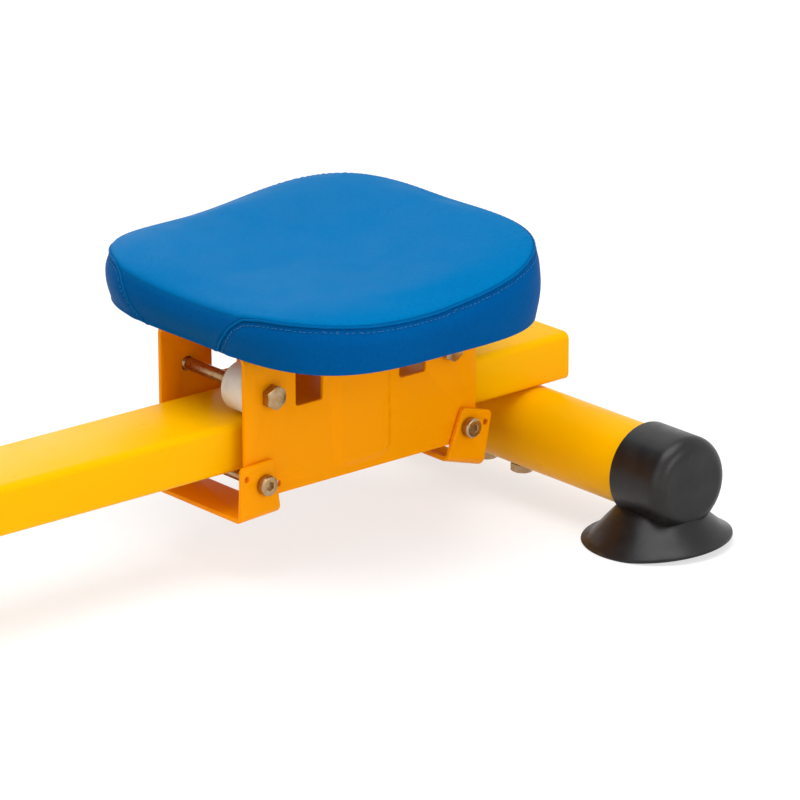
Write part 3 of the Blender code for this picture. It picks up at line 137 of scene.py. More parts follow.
# The suction cup's profile, (level, radius), from the middle of its hollow over the rim to the top
CUP = (
    (0.005, 0), (0.0048, 0.010), (0.0036, 0.022), (0.0016, 0.034), (0.0004, 0.0395), (0, 0.041), (0, 0.0444),
    (0.0004, 0.0449), (0.0012, CUP_RADIUS), (0.0020, 0.0448), (0.0026, 0.0438), (0.0036, 0.0424), (0.0054, 0.0400),
    (0.0080, 0.0372), (0.0108, 0.0344), (0.0138, 0.0313), (0.0166, 0.0283), (0.0193, 0.0253), (0.0212, 0.0230),
    (0.0226, 0.0208), (0.0240, 0.0178), (0.0250, 0.0140), (0.0257, 0.0090), (0.0260, 0.0045), (0.0261, 0),
)

# Screws
BOLT_RADIUS = 0.004
HEX_FLATS = 0.013
HEX_HEIGHT = 0.0053
NUT_HEIGHT = 0.0065
BOLT_TAIL = 0.003

# Carriage
BRACKET_FRONT = 0.3404
BRACKET_REAR = 0.5164
BRACKET_X = 0.4284
BRACKET_HALF = 0.0403
BRACKET_TOP = 0.1385
BRACKET_FOOT = 0.0501
BRACKET_BEND = 0.006
AXLE_Z = 0.1106
FRONT_AXLE_X = 0.3612
REAR_AXLE_X = 0.4956
BRACKET_SET_BACK = 0.0013  # how far its front edge lies behind the frame's
NOTCH = 0.012  # at each end of the web, and not in the frame
WINDOW_OFFSET = 0.039
WINDOW_HALF = 0.0101
WINDOW_BOTTOM, WINDOW_TOP = RAIL_TOP + 0.005, RAIL_TOP + 0.029
PAD_HALF = 0.020
PAD_CORNER = 0.008
PAD_SLOPE = 0.0045  # 2 mm in the frame
PAD_RISE = 0.0020  # 1.6 mm in the frame
PAD_REACH = 0.0033  # how far round the pad the plate is cut up
SCREWS = [(x, y) for x in (BRACKET_FRONT + 0.030, BRACKET_REAR - 0.030) for y in (-0.022, 0.022)]
BOLT_HOLE = BOLT_RADIUS + 0.0003
SMALL_HOLE = 0.0019
SMALL_HOLE_OFFSET = 0.0125  # from the retainer's bolt
RETAINER_Z = 0.0598
FRONT_RETAINER_X = 0.3531
REAR_RETAINER_X = 0.5080
STRAP_HALF = 0.0436
STRAP_BEND = 0.005
REAR_STRAP_LOWER = 0.0026  # than the frame's
WHEEL_RADIUS = 0.015
ROLLER_WIDTH, ROLLER_PLAY = 0.025, 0.0006

# Seat
SEAT_BOTTOM = 0.1388
SEAT_X = 0.4319
SEAT_HALF_LENGTH = 0.100
SEAT_HALF_WIDTH = 0.118
SEAT_SQUARENESS = 3.46  # 2 is an oval, and more is squarer
SEAT_DRAWN_IN = 0.0012  # how far the sides pull in between the corners
SEAT_ANGLES = 240
SEAT_EDGE_FALL = 0.008
SEAT_ROLL = 0.0287
BAND_BULGE = 0.0027
TOP_REACH = 0.985  # of the way to the middle, where the rings end
FRONT_SHADE = (122, 146)  # the angles between which the painted shade on the front sets in
SEAT_CROWN = 0.0038
UNDER_ROUND = 0.0035
UNDER_STEPS = 5
BAND_STEPS = 16
ROLL_STEPS = 14
TOP_STEPS = 22
BAND_LEVEL = UNDER_STEPS + 2
ROLL_LEVEL = BAND_LEVEL + BAND_STEPS
ROLL_SHARE = 0.8  # of the band's share scale that the edge roll takes
PRESS_CAP = 0.0010  # how far the simulation may move the cover
PRESS_FINEST, PRESS_BROADEST = 0.0055, 0.030  # the widths between which the unevenness is kept
FINE_ANGLES = 3
FINE_LEVELS = 3
COVER_FRAMES = 20
COVER_CLOTH = {
    "quality": 6, "mass": 0.35, "tension_stiffness": 40, "compression_stiffness": 20, "shear_stiffness": 10,
    "bending_stiffness": 1.5, "use_pressure": True, "uniform_pressure_force": 4, "vertex_group_mass": "held",
}
BOARD_HALF_LENGTH = 0.086
BOARD_HALF_WIDTH = 0.104
BOARD_CORNER = 0.040
BOARD_THICK = 0.012

# The seam's line on the cushion: (angle in degrees, share of the band's height). It is missing round the front.
SEAM = (
    (-165.5, -0.12), (-163.5, 0.16), (-160.8, 0.46), (-158.3, 0.74), (-154.0, 0.98), (-147.0, 1.08), (-134.0, 1.05),
    (-118.0, 0.98), (-95.0, 0.97), (-78.0, 1.05), (-58.0, 1.16), (-30.0, 1.13), (0.0, 1.12), (30.0, 1.13),
    (58.0, 1.16), (78.0, 1.05), (95.0, 0.97), (118.0, 0.98), (134.0, 1.08), (141.0, 1.06), (145.5, 0.88),
    (150.0, 0.50), (153.5, 0.16), (156.5, -0.12),
)
WELT_RADIUS = 0.0008
SEAM_REACH = 0.016  # how far the seam shapes the cover beside it
WELT_PAINTED_SHADE = 0.6  # how much painted shade the welt takes, between the top's blue, 0, and the band's shaded blue, 1
STITCH_PITCH = 0.0030
STITCH_LENGTH = 0.0021
STITCH_RADIUS = 0.00028
STITCH_BELOW = 0.0034
STITCH_LEAN = math.radians(11)
STITCH_LIFT = 0.00045

# Arms and cylinders
ARM_X, ARM_Z = -0.400, 0.1176  # the pivot
ARM_PLANE = 0.171
ARM_RADIUS = 0.011
ARM_LENGTH = 0.370
ARM_SPLAY = 0.080
HUB_RADIUS = 0.015
HUB_HALF = 0.018
BOSS_RADIUS, BOSS_LENGTH = 0.012, 0.0205
PIVOT_TIP = 0.134  # from the machine's middle, where the pivot bolt ends inside the crossmember
GRIP_LENGTH = 0.115
GRIP_RADIUS, GRIP_END = 0.0165, 0.006
CROSS_HALF, CROSS_RADIUS, CROSS_BORE = 0.150, 0.019, 0.0062
ARM_LEAN = math.radians(-20)
CRANK_RADIUS = 0.085
BASE_X, BASE_Z = -0.560, 0.086  # the cylinders' lower pins
CRANK_X = ARM_X + CRANK_RADIUS * math.sin(ARM_LEAN)
CRANK_Z = ARM_Z + CRANK_RADIUS * math.cos(ARM_LEAN)
CYLINDER_PLANE = 0.141
EYE_WIDTH, EYE_RADIUS = 0.014, 0.0105
BARREL_START, BARREL_END, BARREL_RADIUS = 0.013, 0.127, 0.0155  # from the lower pin
EAR_RADIUS = 0.012
EAR_SHEET = 0.004
EAR_PLAY = 0.0008

# Pedals
PEDAL_X, PEDAL_Z = -0.495, 0.1353
PEDAL_LEAN = math.radians(52)
PEDAL_INNER, PEDAL_OUTER = 0.034, 0.114  # from the machine's middle
PEDAL_FLOOR = 0.013
PEDAL_TREAD = 0.018
PEDAL_HEEL = -0.052
PEDAL_TOE = 0.188
PEDAL_CORNER = 0.026
RIM_LOW, RIM_HIGH = 0.009, 0.026  # above the tread, round the toe and round the heel
RIDGES = 6
RIDGE_PITCH = 0.018
RIB_OFFSET, RIB_HALF = 0.022, 0.002
AXLE_RADIUS = 0.006
AXLE_PITCH = 0.00175
INSTEP_THICK = 0.0022
INSTEP_WIDTH = 0.036
INSTEP_RISE = 0.049  # of the strap's arc above the rim


# Finishes

RAIL_YELLOW = (0.985, 0.500, 0.000)
RAIL_YELLOW_DEEP = (0.965, 0.470, 0.000)
# Painted shade: the carriage's plates and straps get a deeper, more orange copy of the rail's yellow, for the seat's
# shade over them.
SHADED_PLATE_YELLOW = (0.990, 0.360, 0.000)
SHADED_PLATE_YELLOW_DEEP = (0.980, 0.335, 0.000)
BLUE = (0.000, 0.172, 0.440)
# Painted shade: a deeper blue on the cushion's side band, front and underside than on its top.
PAINTED_SHADE_BLUE = (0.000, 0.095, 0.312)
TOP_BLUES = (BLUE, (0.000, 0.160, 0.415), (0.000, 0.125, 0.340))  # light, deep, and a painted shade in the creases of the grain, which the mottle also uses
PAINTED_SHADE_BLUES = (PAINTED_SHADE_BLUE, (0.000, 0.085, 0.288), (0.000, 0.065, 0.238))
BLUE_THREAD = (0.004, 0.150, 0.410)
BLACK_RUBBER = (0.008, 0.007, 0.007)
RUBBER_BLOOM = (0.024, 0.022, 0.021)
# Zinc steel's grey, darkened and tinted warm by a painted reflection of the yellow frame and a dark room.
ZINC_WITH_PAINTED_REFLECTION = (0.44, 0.31, 0.18)
ZINC_WARMER_WITH_PAINTED_REFLECTION = (0.38, 0.23, 0.10)
NYLON = (0.78, 0.74, 0.68)
NYLON_SOILED = (0.55, 0.50, 0.42)


class Finish:
    """A record slot's material, with its procedural colour, roughness and relief."""

    def __init__(self, slot, colour, roughness, metallic=0.0, name=None):
        self.slot = slot
        self.material = bpy.data.materials.new((name or slot) + "_finish")
        self.material.use_nodes = True
        self.tree = self.material.node_tree
        self.shader = self.tree.nodes["Principled BSDF"]
        self.set("Base Color", (*colour, 1.0))
        self.set("Roughness", roughness)
        self.set("Metallic", metallic)
        self.place = self.node("ShaderNodeTexCoord").outputs["Object"]

    def set(self, socket, value):
        self.shader.inputs[socket].default_value = value

    def node(self, kind, values=None, **settings):
        made = self.tree.nodes.new(kind)
        for key, value in settings.items():
            setattr(made, key, value)
        for key, value in (values or {}).items():
            if isinstance(value, bpy.types.NodeSocket):
                self.tree.links.new(value, made.inputs[key])
            else:
                made.inputs[key].default_value = value
        return made

    def link(self, output, socket):
        self.tree.links.new(output, self.shader.inputs[socket])

    def stretched(self, scale):
        """Object coordinates, scaled along each axis."""
        made = self.node("ShaderNodeMapping", {"Vector": self.place, "Scale": scale})
        return made.outputs["Vector"]

    def noise(self, scale, detail=2.0, roughness=0.5, place=None, distortion=0.0):
        values = {"Vector": place or self.place, "Scale": scale, "Detail": detail}
        values |= {"Roughness": roughness, "Distortion": distortion}
        return self.node("ShaderNodeTexNoise", values).outputs["Fac"]

    def cells(self, scale, feature="DISTANCE_TO_EDGE", randomness=1.0, place=None):
        values = {"Vector": place or self.place, "Scale": scale, "Randomness": randomness}
        return self.node("ShaderNodeTexVoronoi", values, feature=feature).outputs["Distance"]

    def spread(self, value, from_low, from_high, to_low, to_high):
        """A value carried from one range to another, and held inside it."""
        values = {0: value, 1: from_low, 2: from_high, 3: to_low, 4: to_high}
        return self.node("ShaderNodeMapRange", values).outputs[0]

    def sum(self, a, b, operation="ADD"):
        return self.node("ShaderNodeMath", {0: a, 1: b}, operation=operation).outputs[0]

    def blend(self, share, first, second):
        """One colour over another, by share."""
        made = self.node("ShaderNodeMix", data_type="RGBA")
        for socket, value in ((0, share), (6, first), (7, second)):
            if isinstance(value, bpy.types.NodeSocket):
                self.tree.links.new(value, made.inputs[socket])
            elif socket == 0:
                made.inputs[socket].default_value = value
            else:
                made.inputs[socket].default_value = (*value, 1.0)
        return made.outputs[2]

    def tint(self, share, first, second):
        self.link(self.blend(share, first, second), "Base Color")

    def vary_roughness(self, scale, detail, low, high):
        self.link(self.spread(self.noise(scale, detail), 0.3, 0.7, low, high), "Roughness")

    def relief(self, height, depth, strength=1.0, below=None):
        """Bump from a height between 0 and 1, whose full range is depth in metres."""
        values = {"Height": height, "Distance": depth, "Strength": strength}
        if below:
            values["Normal"] = below
        made = self.node("ShaderNodeBump", values).outputs["Normal"]
        self.link(made, "Normal")
        return made


def powder_coat(name, colour, deep):
    """Glossy powder coat, with a little orange peel and a slow drift of its colour."""
    made = Finish("yellow_powder_coat", colour, 0.25, name=name)
    drift = made.noise(5.0, 2.0)
    made.tint(made.spread(drift, 0.35, 0.65, 0.0, 1.0), colour, deep)
    made.vary_roughness(60.0, 4.0, 0.26, 0.36)
    peel = made.relief(made.noise(380.0, 2.0), 0.000018)
    made.relief(made.noise(30.0, 2.0), 0.00010, below=peel)
    made.set("Specular IOR Level", 0.04)
    return made


def vinyl():
    """Grained upholstery. Its point attribute is 1 on the side band and the front, which get a painted shade of
    deeper blue.
    """
    made = Finish("blue_vinyl", BLUE, 0.42)
    panel = made.node("ShaderNodeAttribute", attribute_name="panel").outputs["Fac"]
    light, deep, crease_shade_and_mottle_blue = (made.blend(panel, *pair) for pair in zip(TOP_BLUES, PAINTED_SHADE_BLUES))
    tint = made.blend(made.spread(made.noise(14.0, 3.0), 0.3, 0.7, 0.0, 1.0), light, deep)
    mottle = made.spread(made.noise(420.0, 4.0, 0.7), 0.42, 0.68, 0.0, 0.45)
    tint = made.blend(mottle, tint, crease_shade_and_mottle_blue)
    pebble = made.cells(1050.0)
    # Painted shade in the grain's creases, at most a quarter of the way to the crease blue.
    crease = made.spread(pebble, 0.0, 0.16, 1.0, 0.0)
    made.tint(made.sum(crease, 0.25, "MULTIPLY"), tint, crease_shade_and_mottle_blue)
    made.vary_roughness(45.0, 4.0, 0.34, 0.46)
    grain = made.relief(made.spread(pebble, 0.0, 0.30, 0.0, 1.0), 0.00008, 0.8)
    finer = made.relief(made.noise(2400.0, 2.0), 0.00003, 0.6, below=grain)
    folds = made.relief(made.noise(420.0, 4.0, 0.7), 0.00022, 0.8, below=finer)
    made.relief(made.noise(90.0, 3.0), 0.00020, 0.6, below=folds)
    made.set("Specular IOR Level", 0.008)
    return made


def thread():
    made = Finish("blue_vinyl", BLUE_THREAD, 0.6, name="blue_thread")
    lay = made.noise(3000.0, 1.0)
    # The thread's lay varies at random towards the band's painted-shade blue.
    made.tint(lay, BLUE_THREAD, PAINTED_SHADE_BLUE)
    made.relief(lay, 0.00005)
    return made


def rubber():
    made = Finish("rubber", BLACK_RUBBER, 0.5)
    bloom = made.spread(made.noise(40.0, 5.0, 0.6), 0.45, 0.75, 0.0, 0.8)
    made.tint(bloom, BLACK_RUBBER, RUBBER_BLOOM)
    made.vary_roughness(70.0, 4.0, 0.28, 0.42)
    fine = made.relief(made.noise(1500.0, 2.0), 0.00003)
    made.relief(made.noise(130.0, 3.0), 0.00010, below=fine)
    made.set("Specular IOR Level", 0.30)
    return made


def steel():
    # Its colour, a painted reflection over the zinc's grey, drifts at random between two warm tints.
    made = Finish("zinc_steel", ZINC_WITH_PAINTED_REFLECTION, 0.3, 1.0)
    drift = made.spread(made.noise(260.0, 3.0), 0.35, 0.65, 0.0, 1.0)
    made.tint(drift, ZINC_WITH_PAINTED_REFLECTION, ZINC_WARMER_WITH_PAINTED_REFLECTION)
    made.vary_roughness(700.0, 4.0, 0.22, 0.42)
    made.relief(made.noise(1800.0, 3.0), 0.00003)
    return made


def chrome():
    made = Finish("zinc_steel", (0.78, 0.78, 0.79), 0.1, 1.0, name="chromed_rod")
    made.vary_roughness(300.0, 3.0, 0.06, 0.16)
    made.relief(made.noise(900.0, 2.0, place=made.stretched((1.0, 8.0, 1.0))), 0.00001)
    return made


def nylon():
    made = Finish("white_nylon", NYLON, 0.4)
    soil = made.spread(made.noise(160.0, 4.0), 0.5, 0.8, 0.0, 0.5)
    made.tint(soil, NYLON, NYLON_SOILED)
    made.vary_roughness(200.0, 3.0, 0.34, 0.50)
    made.relief(made.noise(600.0, 3.0), 0.00004)
    made.set("Subsurface Weight", 0.15)
    made.set("Subsurface Radius", (0.004, 0.003, 0.002))
    return made


def plywood():
    made = Finish("plywood", (0.50, 0.34, 0.19), 0.7)
    grain = made.noise(30.0, 5.0, 0.6, place=made.stretched((1.0, 14.0, 14.0)), distortion=0.4)
    plies = made.node("ShaderNodeTexWave", {"Vector": made.place, "Scale": 130.0, "Distortion": 0.4},
                      wave_type="BANDS", bands_direction="Z").outputs["Fac"]
    share = made.sum(made.spread(grain, 0.3, 0.7, 0.0, 0.7), made.spread(plies, 0.4, 0.6, 0.0, 0.3))
    made.tint(share, (0.56, 0.39, 0.22), (0.28, 0.17, 0.09))
    made.relief(grain, 0.00008)
    return made


def moulded():
    made = Finish("black_plastic", (0.030, 0.030, 0.032), 0.5)
    made.vary_roughness(90.0, 3.0, 0.42, 0.58)
    made.tint(made.noise(25.0, 3.0), (0.026, 0.026, 0.028), (0.040, 0.040, 0.042))
    made.relief(made.spread(made.cells(1400.0), 0.0, 0.4, 0.0, 1.0), 0.00005)
    return made


def foam():
    made = Finish("black_foam", (0.022, 0.022, 0.024), 0.8)
    pores = made.spread(made.cells(900.0, "F1"), 0.0, 0.5, 0.0, 1.0)
    made.tint(pores, (0.012, 0.012, 0.013), (0.036, 0.036, 0.038))
    made.link(made.spread(pores, 0.0, 1.0, 0.95, 0.75), "Roughness")
    made.relief(pores, 0.00015, 0.7)
    return made


def webbing():
    """Woven tape: its weave runs along the first map coordinate, in metres."""
    made = Finish("black_webbing", (0.035, 0.035, 0.038), 0.75)
    place = made.node("ShaderNodeUVMap", uv_map="weave").outputs["UV"]
    values = {"Vector": place, "Scale": 170.0, "Distortion": 0.0}
    threads = [made.node("ShaderNodeTexWave", values, wave_type="BANDS", bands_direction=way) for way in "XY"]
    weave = made.sum(threads[0].outputs["Fac"], threads[1].outputs["Fac"], "MAXIMUM")
    made.tint(weave, (0.010, 0.010, 0.011), (0.048, 0.048, 0.051))
    made.relief(weave, 0.0003)
    return made


def black_paint():
    made = Finish("black_paint", (0.018, 0.018, 0.019), 0.25)
    made.vary_roughness(80.0, 3.0, 0.18, 0.30)
    made.relief(made.noise(400.0, 2.0), 0.00003)
    made.set("Coat Weight", 0.3)
    made.set("Coat Roughness", 0.08)
    return made


PAINT = powder_coat("frame_coat", RAIL_YELLOW, RAIL_YELLOW_DEEP)
# The carriage's copy of the coat is deeper and more orange, as painted shade.
SHADED_CARRIAGE_PAINT = powder_coat("carriage_coat", SHADED_PLATE_YELLOW, SHADED_PLATE_YELLOW_DEEP)
VINYL = vinyl()
THREAD = thread()
RUBBER = rubber()
STEEL = steel()
CHROME = chrome()
WHITE = nylon()
BOARD = plywood()
PLASTIC = moulded()
FOAM = foam()
WEBBING = webbing()
BARREL = black_paint()


# Mesh tools

def scene_object(name, data):
    made = bpy.data.objects.new(name, data)
    bpy.context.scene.collection.objects.link(made)
    return made


def holding(name, shape):
    """An object that holds a form."""
    mesh = bpy.data.meshes.new(name)
    shape.to_mesh(mesh)
    shape.free()
    return scene_object(name, mesh)


def dress(node, shape, finish, angle=SMOOTH_ANGLE):
    """A finished piece that stands for a node and rides on its body."""
    made = add(node + "_form", shape, finish, frame["nodes"][node]["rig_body"], angle)
    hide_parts(node)
    return made


def add(name, shape, finish, body, angle=SMOOTH_ANGLE):
    """A finished piece that rides on a body."""
    made = holding(name, shape)
    made.data.shade_smooth()
    made.data.set_sharp_from_angle(angle=angle)
    made.data.materials.append(finish.material)
    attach(made, body)
    return made


def arc(a, b, radius, start, end, steps=FINE):
    """Points on an arc, both ends included, angles in degrees."""
    angles = [math.radians(start + (end - start) * k / steps) for k in range(steps + 1)]
    return [(a + radius * math.cos(t), b + radius * math.sin(t)) for t in angles]


def rounded(corners, closed=True, steps=FINE):
    """A line through (a, b, radius) corners, each rounded by its own radius."""
    line = []
    count = len(corners)
    for k, (a, b, radius) in enumerate(corners):
        here = Vector((a, b))
        if radius == 0 or (not closed and k in (0, count - 1)):
            line.append((a, b))
            continue
        before = (Vector(corners[k - 1][:2]) - here).normalized()
        after = (Vector(corners[(k + 1) % count][:2]) - here).normalized()
        half = before.angle(after) / 2
        centre = here + (before + after).normalized() * radius / math.sin(half)
        start = here + before * radius / math.tan(half) - centre
        end = here + after * radius / math.tan(half) - centre
        turn = start.angle_signed(end)
        for step in range(steps + 1):
            spoke = start.copy()
            spoke.rotate(Matrix.Rotation(-turn * step / steps, 2))
            line.append(tuple(centre + spoke))
    return line


def rectangle(low_a, low_b, high_a, high_b, radius, steps=FINE):
    corners = ((high_a, high_b), (low_a, high_b), (low_a, low_b), (high_a, low_b))
    return rounded([(a, b, radius) for a, b in corners], steps=steps)


def framed(low_a, low_b, high_a, high_b, radius, steps=FINE):
    """A rounded rectangle, as a function of its inset."""
    return lambda inset: rectangle(
        low_a + inset, low_b + inset, high_a - inset, high_b - inset, radius - inset, steps
    )


def along_x(outline, x):
    return [(x, a, b) for a, b in outline]


def along_y(outline, y):
    return [(a, y, b) for a, b in outline]


def along_z(outline, z):
    return [(a, b, z) for a, b in outline]


def smooth_step(value, start, end):
    """0 up to the start and 1 from the end on, for a number or an array."""
    share = np.clip((value - start) / (end - start), 0, 1)
    return share * share * (3 - 2 * share)


def circle(a, b, radius, steps=SMALL_ROUND):
    return arc(a, b, radius, 0, 360, steps)[:-1]


def skin(rings, loop=False):
    """Faces from each ring of points to the next. A ring of one point is a pole, and the ends are capped."""
    shape = bmesh.new()
    made = [[shape.verts.new(point) for point in ring] for ring in rings]
    pairs = list(zip(made, made[1:])) + ([(made[-1], made[0])] if loop else [])
    for first, second in pairs:
        for k in range(max(len(first), len(second))):
            corners = [first[k % len(first)], first[(k + 1) % len(first)]]
            corners += [second[(k + 1) % len(second)], second[k % len(second)]]
            distinct = list(dict.fromkeys(corners))
            if len(distinct) > 2:
                shape.faces.new(distinct)
    if not loop:
        for end in (made[0], made[-1]):
            if len(end) > 2:
                shape.faces.new(end)
    bmesh.ops.recalc_face_normals(shape, faces=shape.faces)
    return shape


def drawn(outline, place, levels):
    """Rings of an outline, which is a function of its inset, at (inset, level) pairs."""
    return [place(outline(inset), level) for inset, level in levels]


def block(outline, place, start, end, edge=BROKEN_EDGE):
    """A form from start to end whose edges are broken."""
    return skin(drawn(outline, place, ((edge, start), (0, start + edge), (0, end - edge), (edge, end))))


def hoop(centre, first, second, radius, steps):
    """A ring of points round a centre, in the plane of two directions."""
    turns = [2 * math.pi * j / steps for j in range(steps)]
    return [centre + (first * math.cos(t) + second * math.sin(t)) * radius for t in turns]


def headings(points):
    """A path's direction at each of its points."""
    last = len(points) - 1
    return [(points[min(k + 1, last)] - points[max(k - 1, 0)]).normalized() for k in range(last + 1)]


AXIS_TURN = {
    "X": Matrix.Rotation(math.radians(90), 4, "Y"),
    "Y": Matrix.Rotation(math.radians(-90), 4, "X"),
    "Z": Matrix.Identity(4),
}


def turned(profile, axis="Z", centre=(0, 0, 0), steps=ROUND, loop=False):
    """A turned form. A profile's pair is (along the axis, radius), or a function of the angle that gives one."""
    turns = [2 * math.pi * k / steps for k in range(steps)]
    rings = []
    for row in profile:
        pairs = [row(t) if callable(row) else row for t in turns]
        if all(radius == 0 for _, radius in pairs):
            pairs = pairs[:1]
        rings.append([(r * math.cos(t), r * math.sin(t), along) for t, (along, r) in zip(turns, pairs)])
    shape = skin(rings, loop)
    shape.transform(Matrix.Translation(centre) @ AXIS_TURN[axis])
    bmesh.ops.recalc_face_normals(shape, faces=shape.faces)
    return shape


def sleeve(start, end, outer, inner=0, edge=BROKEN_EDGE):
    """A profile from start to end with its outer edges broken."""
    rows = [(start, inner), (start, outer - edge), (start + edge, outer), (end - edge, outer)]
    return rows + [(end, outer - edge), (end, inner)]


def bar(radius, start, end, centre=(0, 0, 0)):
    """A round bar along Y."""
    return turned(sleeve(start, end, radius), "Y", centre, SMALL_ROUND)


def merged(*shapes):
    """Several closed forms in one mesh."""
    whole = bmesh.new()
    for shape in shapes:
        mesh = bpy.data.meshes.new("part")
        shape.to_mesh(mesh)
        shape.free()
        whole.from_mesh(mesh)
        bpy.data.meshes.remove(mesh)
    return whole


def solved(shape, others, operation):
    """Joins others to a form, or cuts them out of it."""
    holder = holding("whole", shape)
    tools = [holding("tool", other) for other in others]
    for tool in tools:
        step = holder.modifiers.new("step", "BOOLEAN")
        step.operation = operation
        step.solver = "EXACT"
        step.object = tool
    made = evaluated(holder)
    for tool in tools:
        bpy.data.objects.remove(tool)
    return made


def evaluated(holder):
    """A bmesh of an object with its modifiers, and the object gone."""
    graph = bpy.context.evaluated_depsgraph_get()
    mesh = bpy.data.meshes.new_from_object(holder.evaluated_get(graph))
    shape = bmesh.new()
    shape.from_mesh(mesh)
    bpy.data.meshes.remove(mesh)
    bpy.data.objects.remove(holder)
    return shape


def plate(loops, thickness, edge=SHEET_EDGE):
    """A flat plate round the plane Z = 0, with rounded edges. The first loop is its outline, the others holes."""
    curve = bpy.data.curves.new("outline", "CURVE")
    curve.dimensions = "2D"
    curve.fill_mode = "BOTH"
    curve.extrude = thickness / 2 - edge
    curve.bevel_depth = edge
    curve.bevel_resolution = 1
    curve.offset = -edge
    for loop in loops:
        spline = curve.splines.new("POLY")
        spline.points.add(len(loop) - 1)
        for point, (a, b) in zip(spline.points, loop):
            point.co = (a, b, 0, 1)
        spline.use_cyclic_u = True
    shape = evaluated(scene_object("outline", curve))
    bmesh.ops.remove_doubles(shape, verts=shape.verts, dist=1e-6)
    bmesh.ops.recalc_face_normals(shape, faces=shape.faces)
    return shape


def cut_lines(shape, places, axis, inside=None):
    """Cuts a mesh along planes square to an axis, so that it can bend there."""
    normal = Vector((axis == 0, axis == 1, axis == 2))
    for place in places:
        faces = [f for f in shape.faces if inside is None or inside(f.calc_center_median())]
        geometry = list({v for f in faces for v in f.verts} | {e for f in faces for e in f.edges}) + faces
        bmesh.ops.bisect_plane(shape, geom=geometry, plane_co=normal * place, plane_no=normal, dist=1e-6)


def hexagon(angle, across_flats):
    """How far a hexagon reaches at an angle, its corner at 30 degrees."""
    share = (angle + math.pi / 6) % (math.pi / 3) - math.pi / 6
    return across_flats / 2 / math.cos(share)


def hex_rows(across_flats, start, end, both=False):
    """A hexagon bar's rows from start to end, its far end chamfered by a cone, or both ends."""
    flat = across_flats / 2 * HEX_TOP_SHARE
    side = 1 if end > start else -1

    def fall(angle):
        return side * (hexagon(angle, across_flats) - flat) * HEX_SLOPE

    if both:
        rows = [(start, flat), lambda t: (start + fall(t), hexagon(t, across_flats))]
    else:
        rows = [lambda t: (start, hexagon(t, across_flats) - HEX_EDGE)]
        rows.append(lambda t: (start + side * HEX_EDGE, hexagon(t, across_flats)))
    rows.append(lambda t: (end - fall(t), hexagon(t, across_flats)))
    return rows + [(end, flat)]


def thread_rows(radius, pitch, start, end):
    """A screw thread's rows."""
    depth = pitch * THREAD_SHARE
    count = max(2, round(abs(end - start) / pitch * 6))

    def row(along):
        def at(angle):
            phase = (along / pitch - angle / (2 * math.pi)) % 1.0
            return along, radius - depth * abs(2 * phase - 1)
        return at

    return [row(start + (end - start) * k / count) for k in range(count + 1)]


# Camera, lights and floor

def make_camera():
    data = bpy.data.cameras.new("camera")
    data.lens = CAMERA_LENS
    data.sensor_width = 36.0
    camera = scene_object("camera", data)
    turn = Matrix.Rotation(CAMERA_AZIMUTH, 4, "Z") @ Matrix.Rotation(math.pi / 2 - CAMERA_ELEVATION, 4, "X")
    turn @= Matrix.Rotation(CAMERA_ROLL, 4, "Z")
    camera.matrix_world = Matrix.Translation(CAMERA_TARGET) @ turn @ Matrix.Translation((0, 0, CAMERA_DISTANCE))
    data.clip_end = 60.0
    bpy.context.scene.camera = camera


def area_light(name, place, aim, size, power):
    data = bpy.data.lights.new(name, "AREA")
    data.shape = "RECTANGLE"
    data.size, data.size_y = size
    data.energy = power
    lamp = scene_object(name, data)
    lamp.location = place
    lamp.rotation_mode = "QUATERNION"
    lamp.rotation_quaternion = (Vector(aim) - Vector(place)).to_track_quat("-Z", "Y")


def seen_directly(tree):
    """1 where the camera, a mirror or glass sees the surface, and 0 where it only lights others."""
    path = tree.nodes.new("ShaderNodeLightPath")
    share = path.outputs["Is Camera Ray"]
    for other in ("Is Glossy Ray", "Is Transmission Ray"):
        either = tree.nodes.new("ShaderNodeMath")
        either.operation = "MAXIMUM"
        tree.links.new(share, either.inputs[0])
        tree.links.new(path.outputs[other], either.inputs[1])
        share = either.outputs[0]
    return share


def graded(tree, seen, hidden, shown, socket):
    """Gives a socket the value hidden where seen is 0, and shown where it is 1."""
    value = tree.nodes.new("ShaderNodeMapRange")
    tree.links.new(seen, value.inputs["Value"])
    value.inputs["To Min"].default_value = hidden
    value.inputs["To Max"].default_value = shown
    tree.links.new(value.outputs["Result"], socket)


def make_light():
    world = bpy.data.worlds.new("studio")
    bpy.context.scene.world = world
    world.use_nodes = True
    tree = world.node_tree
    background = tree.nodes["Background"].inputs
    background["Color"].default_value = (1, 1, 1, 1)
    graded(tree, seen_directly(tree), WORLD_LIGHT, 1.0, background["Strength"])
    for lamp in LAMPS:
        area_light(*lamp)


def make_floor():
    shape = bmesh.new()
    bmesh.ops.create_grid(shape, x_segments=1, y_segments=1, size=FLOOR_SIZE / 2)
    floor = holding("floor", shape)
    floor.location.z = -TOUCH
    material = bpy.data.materials.new("pale_floor")
    material.use_nodes = True
    tree = material.node_tree
    shader = tree.nodes["Principled BSDF"].inputs
    shader["Roughness"].default_value = 0.9
    shader["Specular IOR Level"].default_value = 0.0
    shader["Emission Color"].default_value = (1, 1, 1, 1)
    seen = seen_directly(tree)
    graded(tree, seen, FLOOR_COLOUR, FLOOR_SEEN_COLOUR, shader["Base Color"])
    graded(tree, seen, 0.0, FLOOR_GLOW, shader["Emission Strength"])
    floor.data.materials.append(material)


bpy.context.scene.view_settings.view_transform = "Standard"
make_camera()
make_light()
make_floor()


# Frame

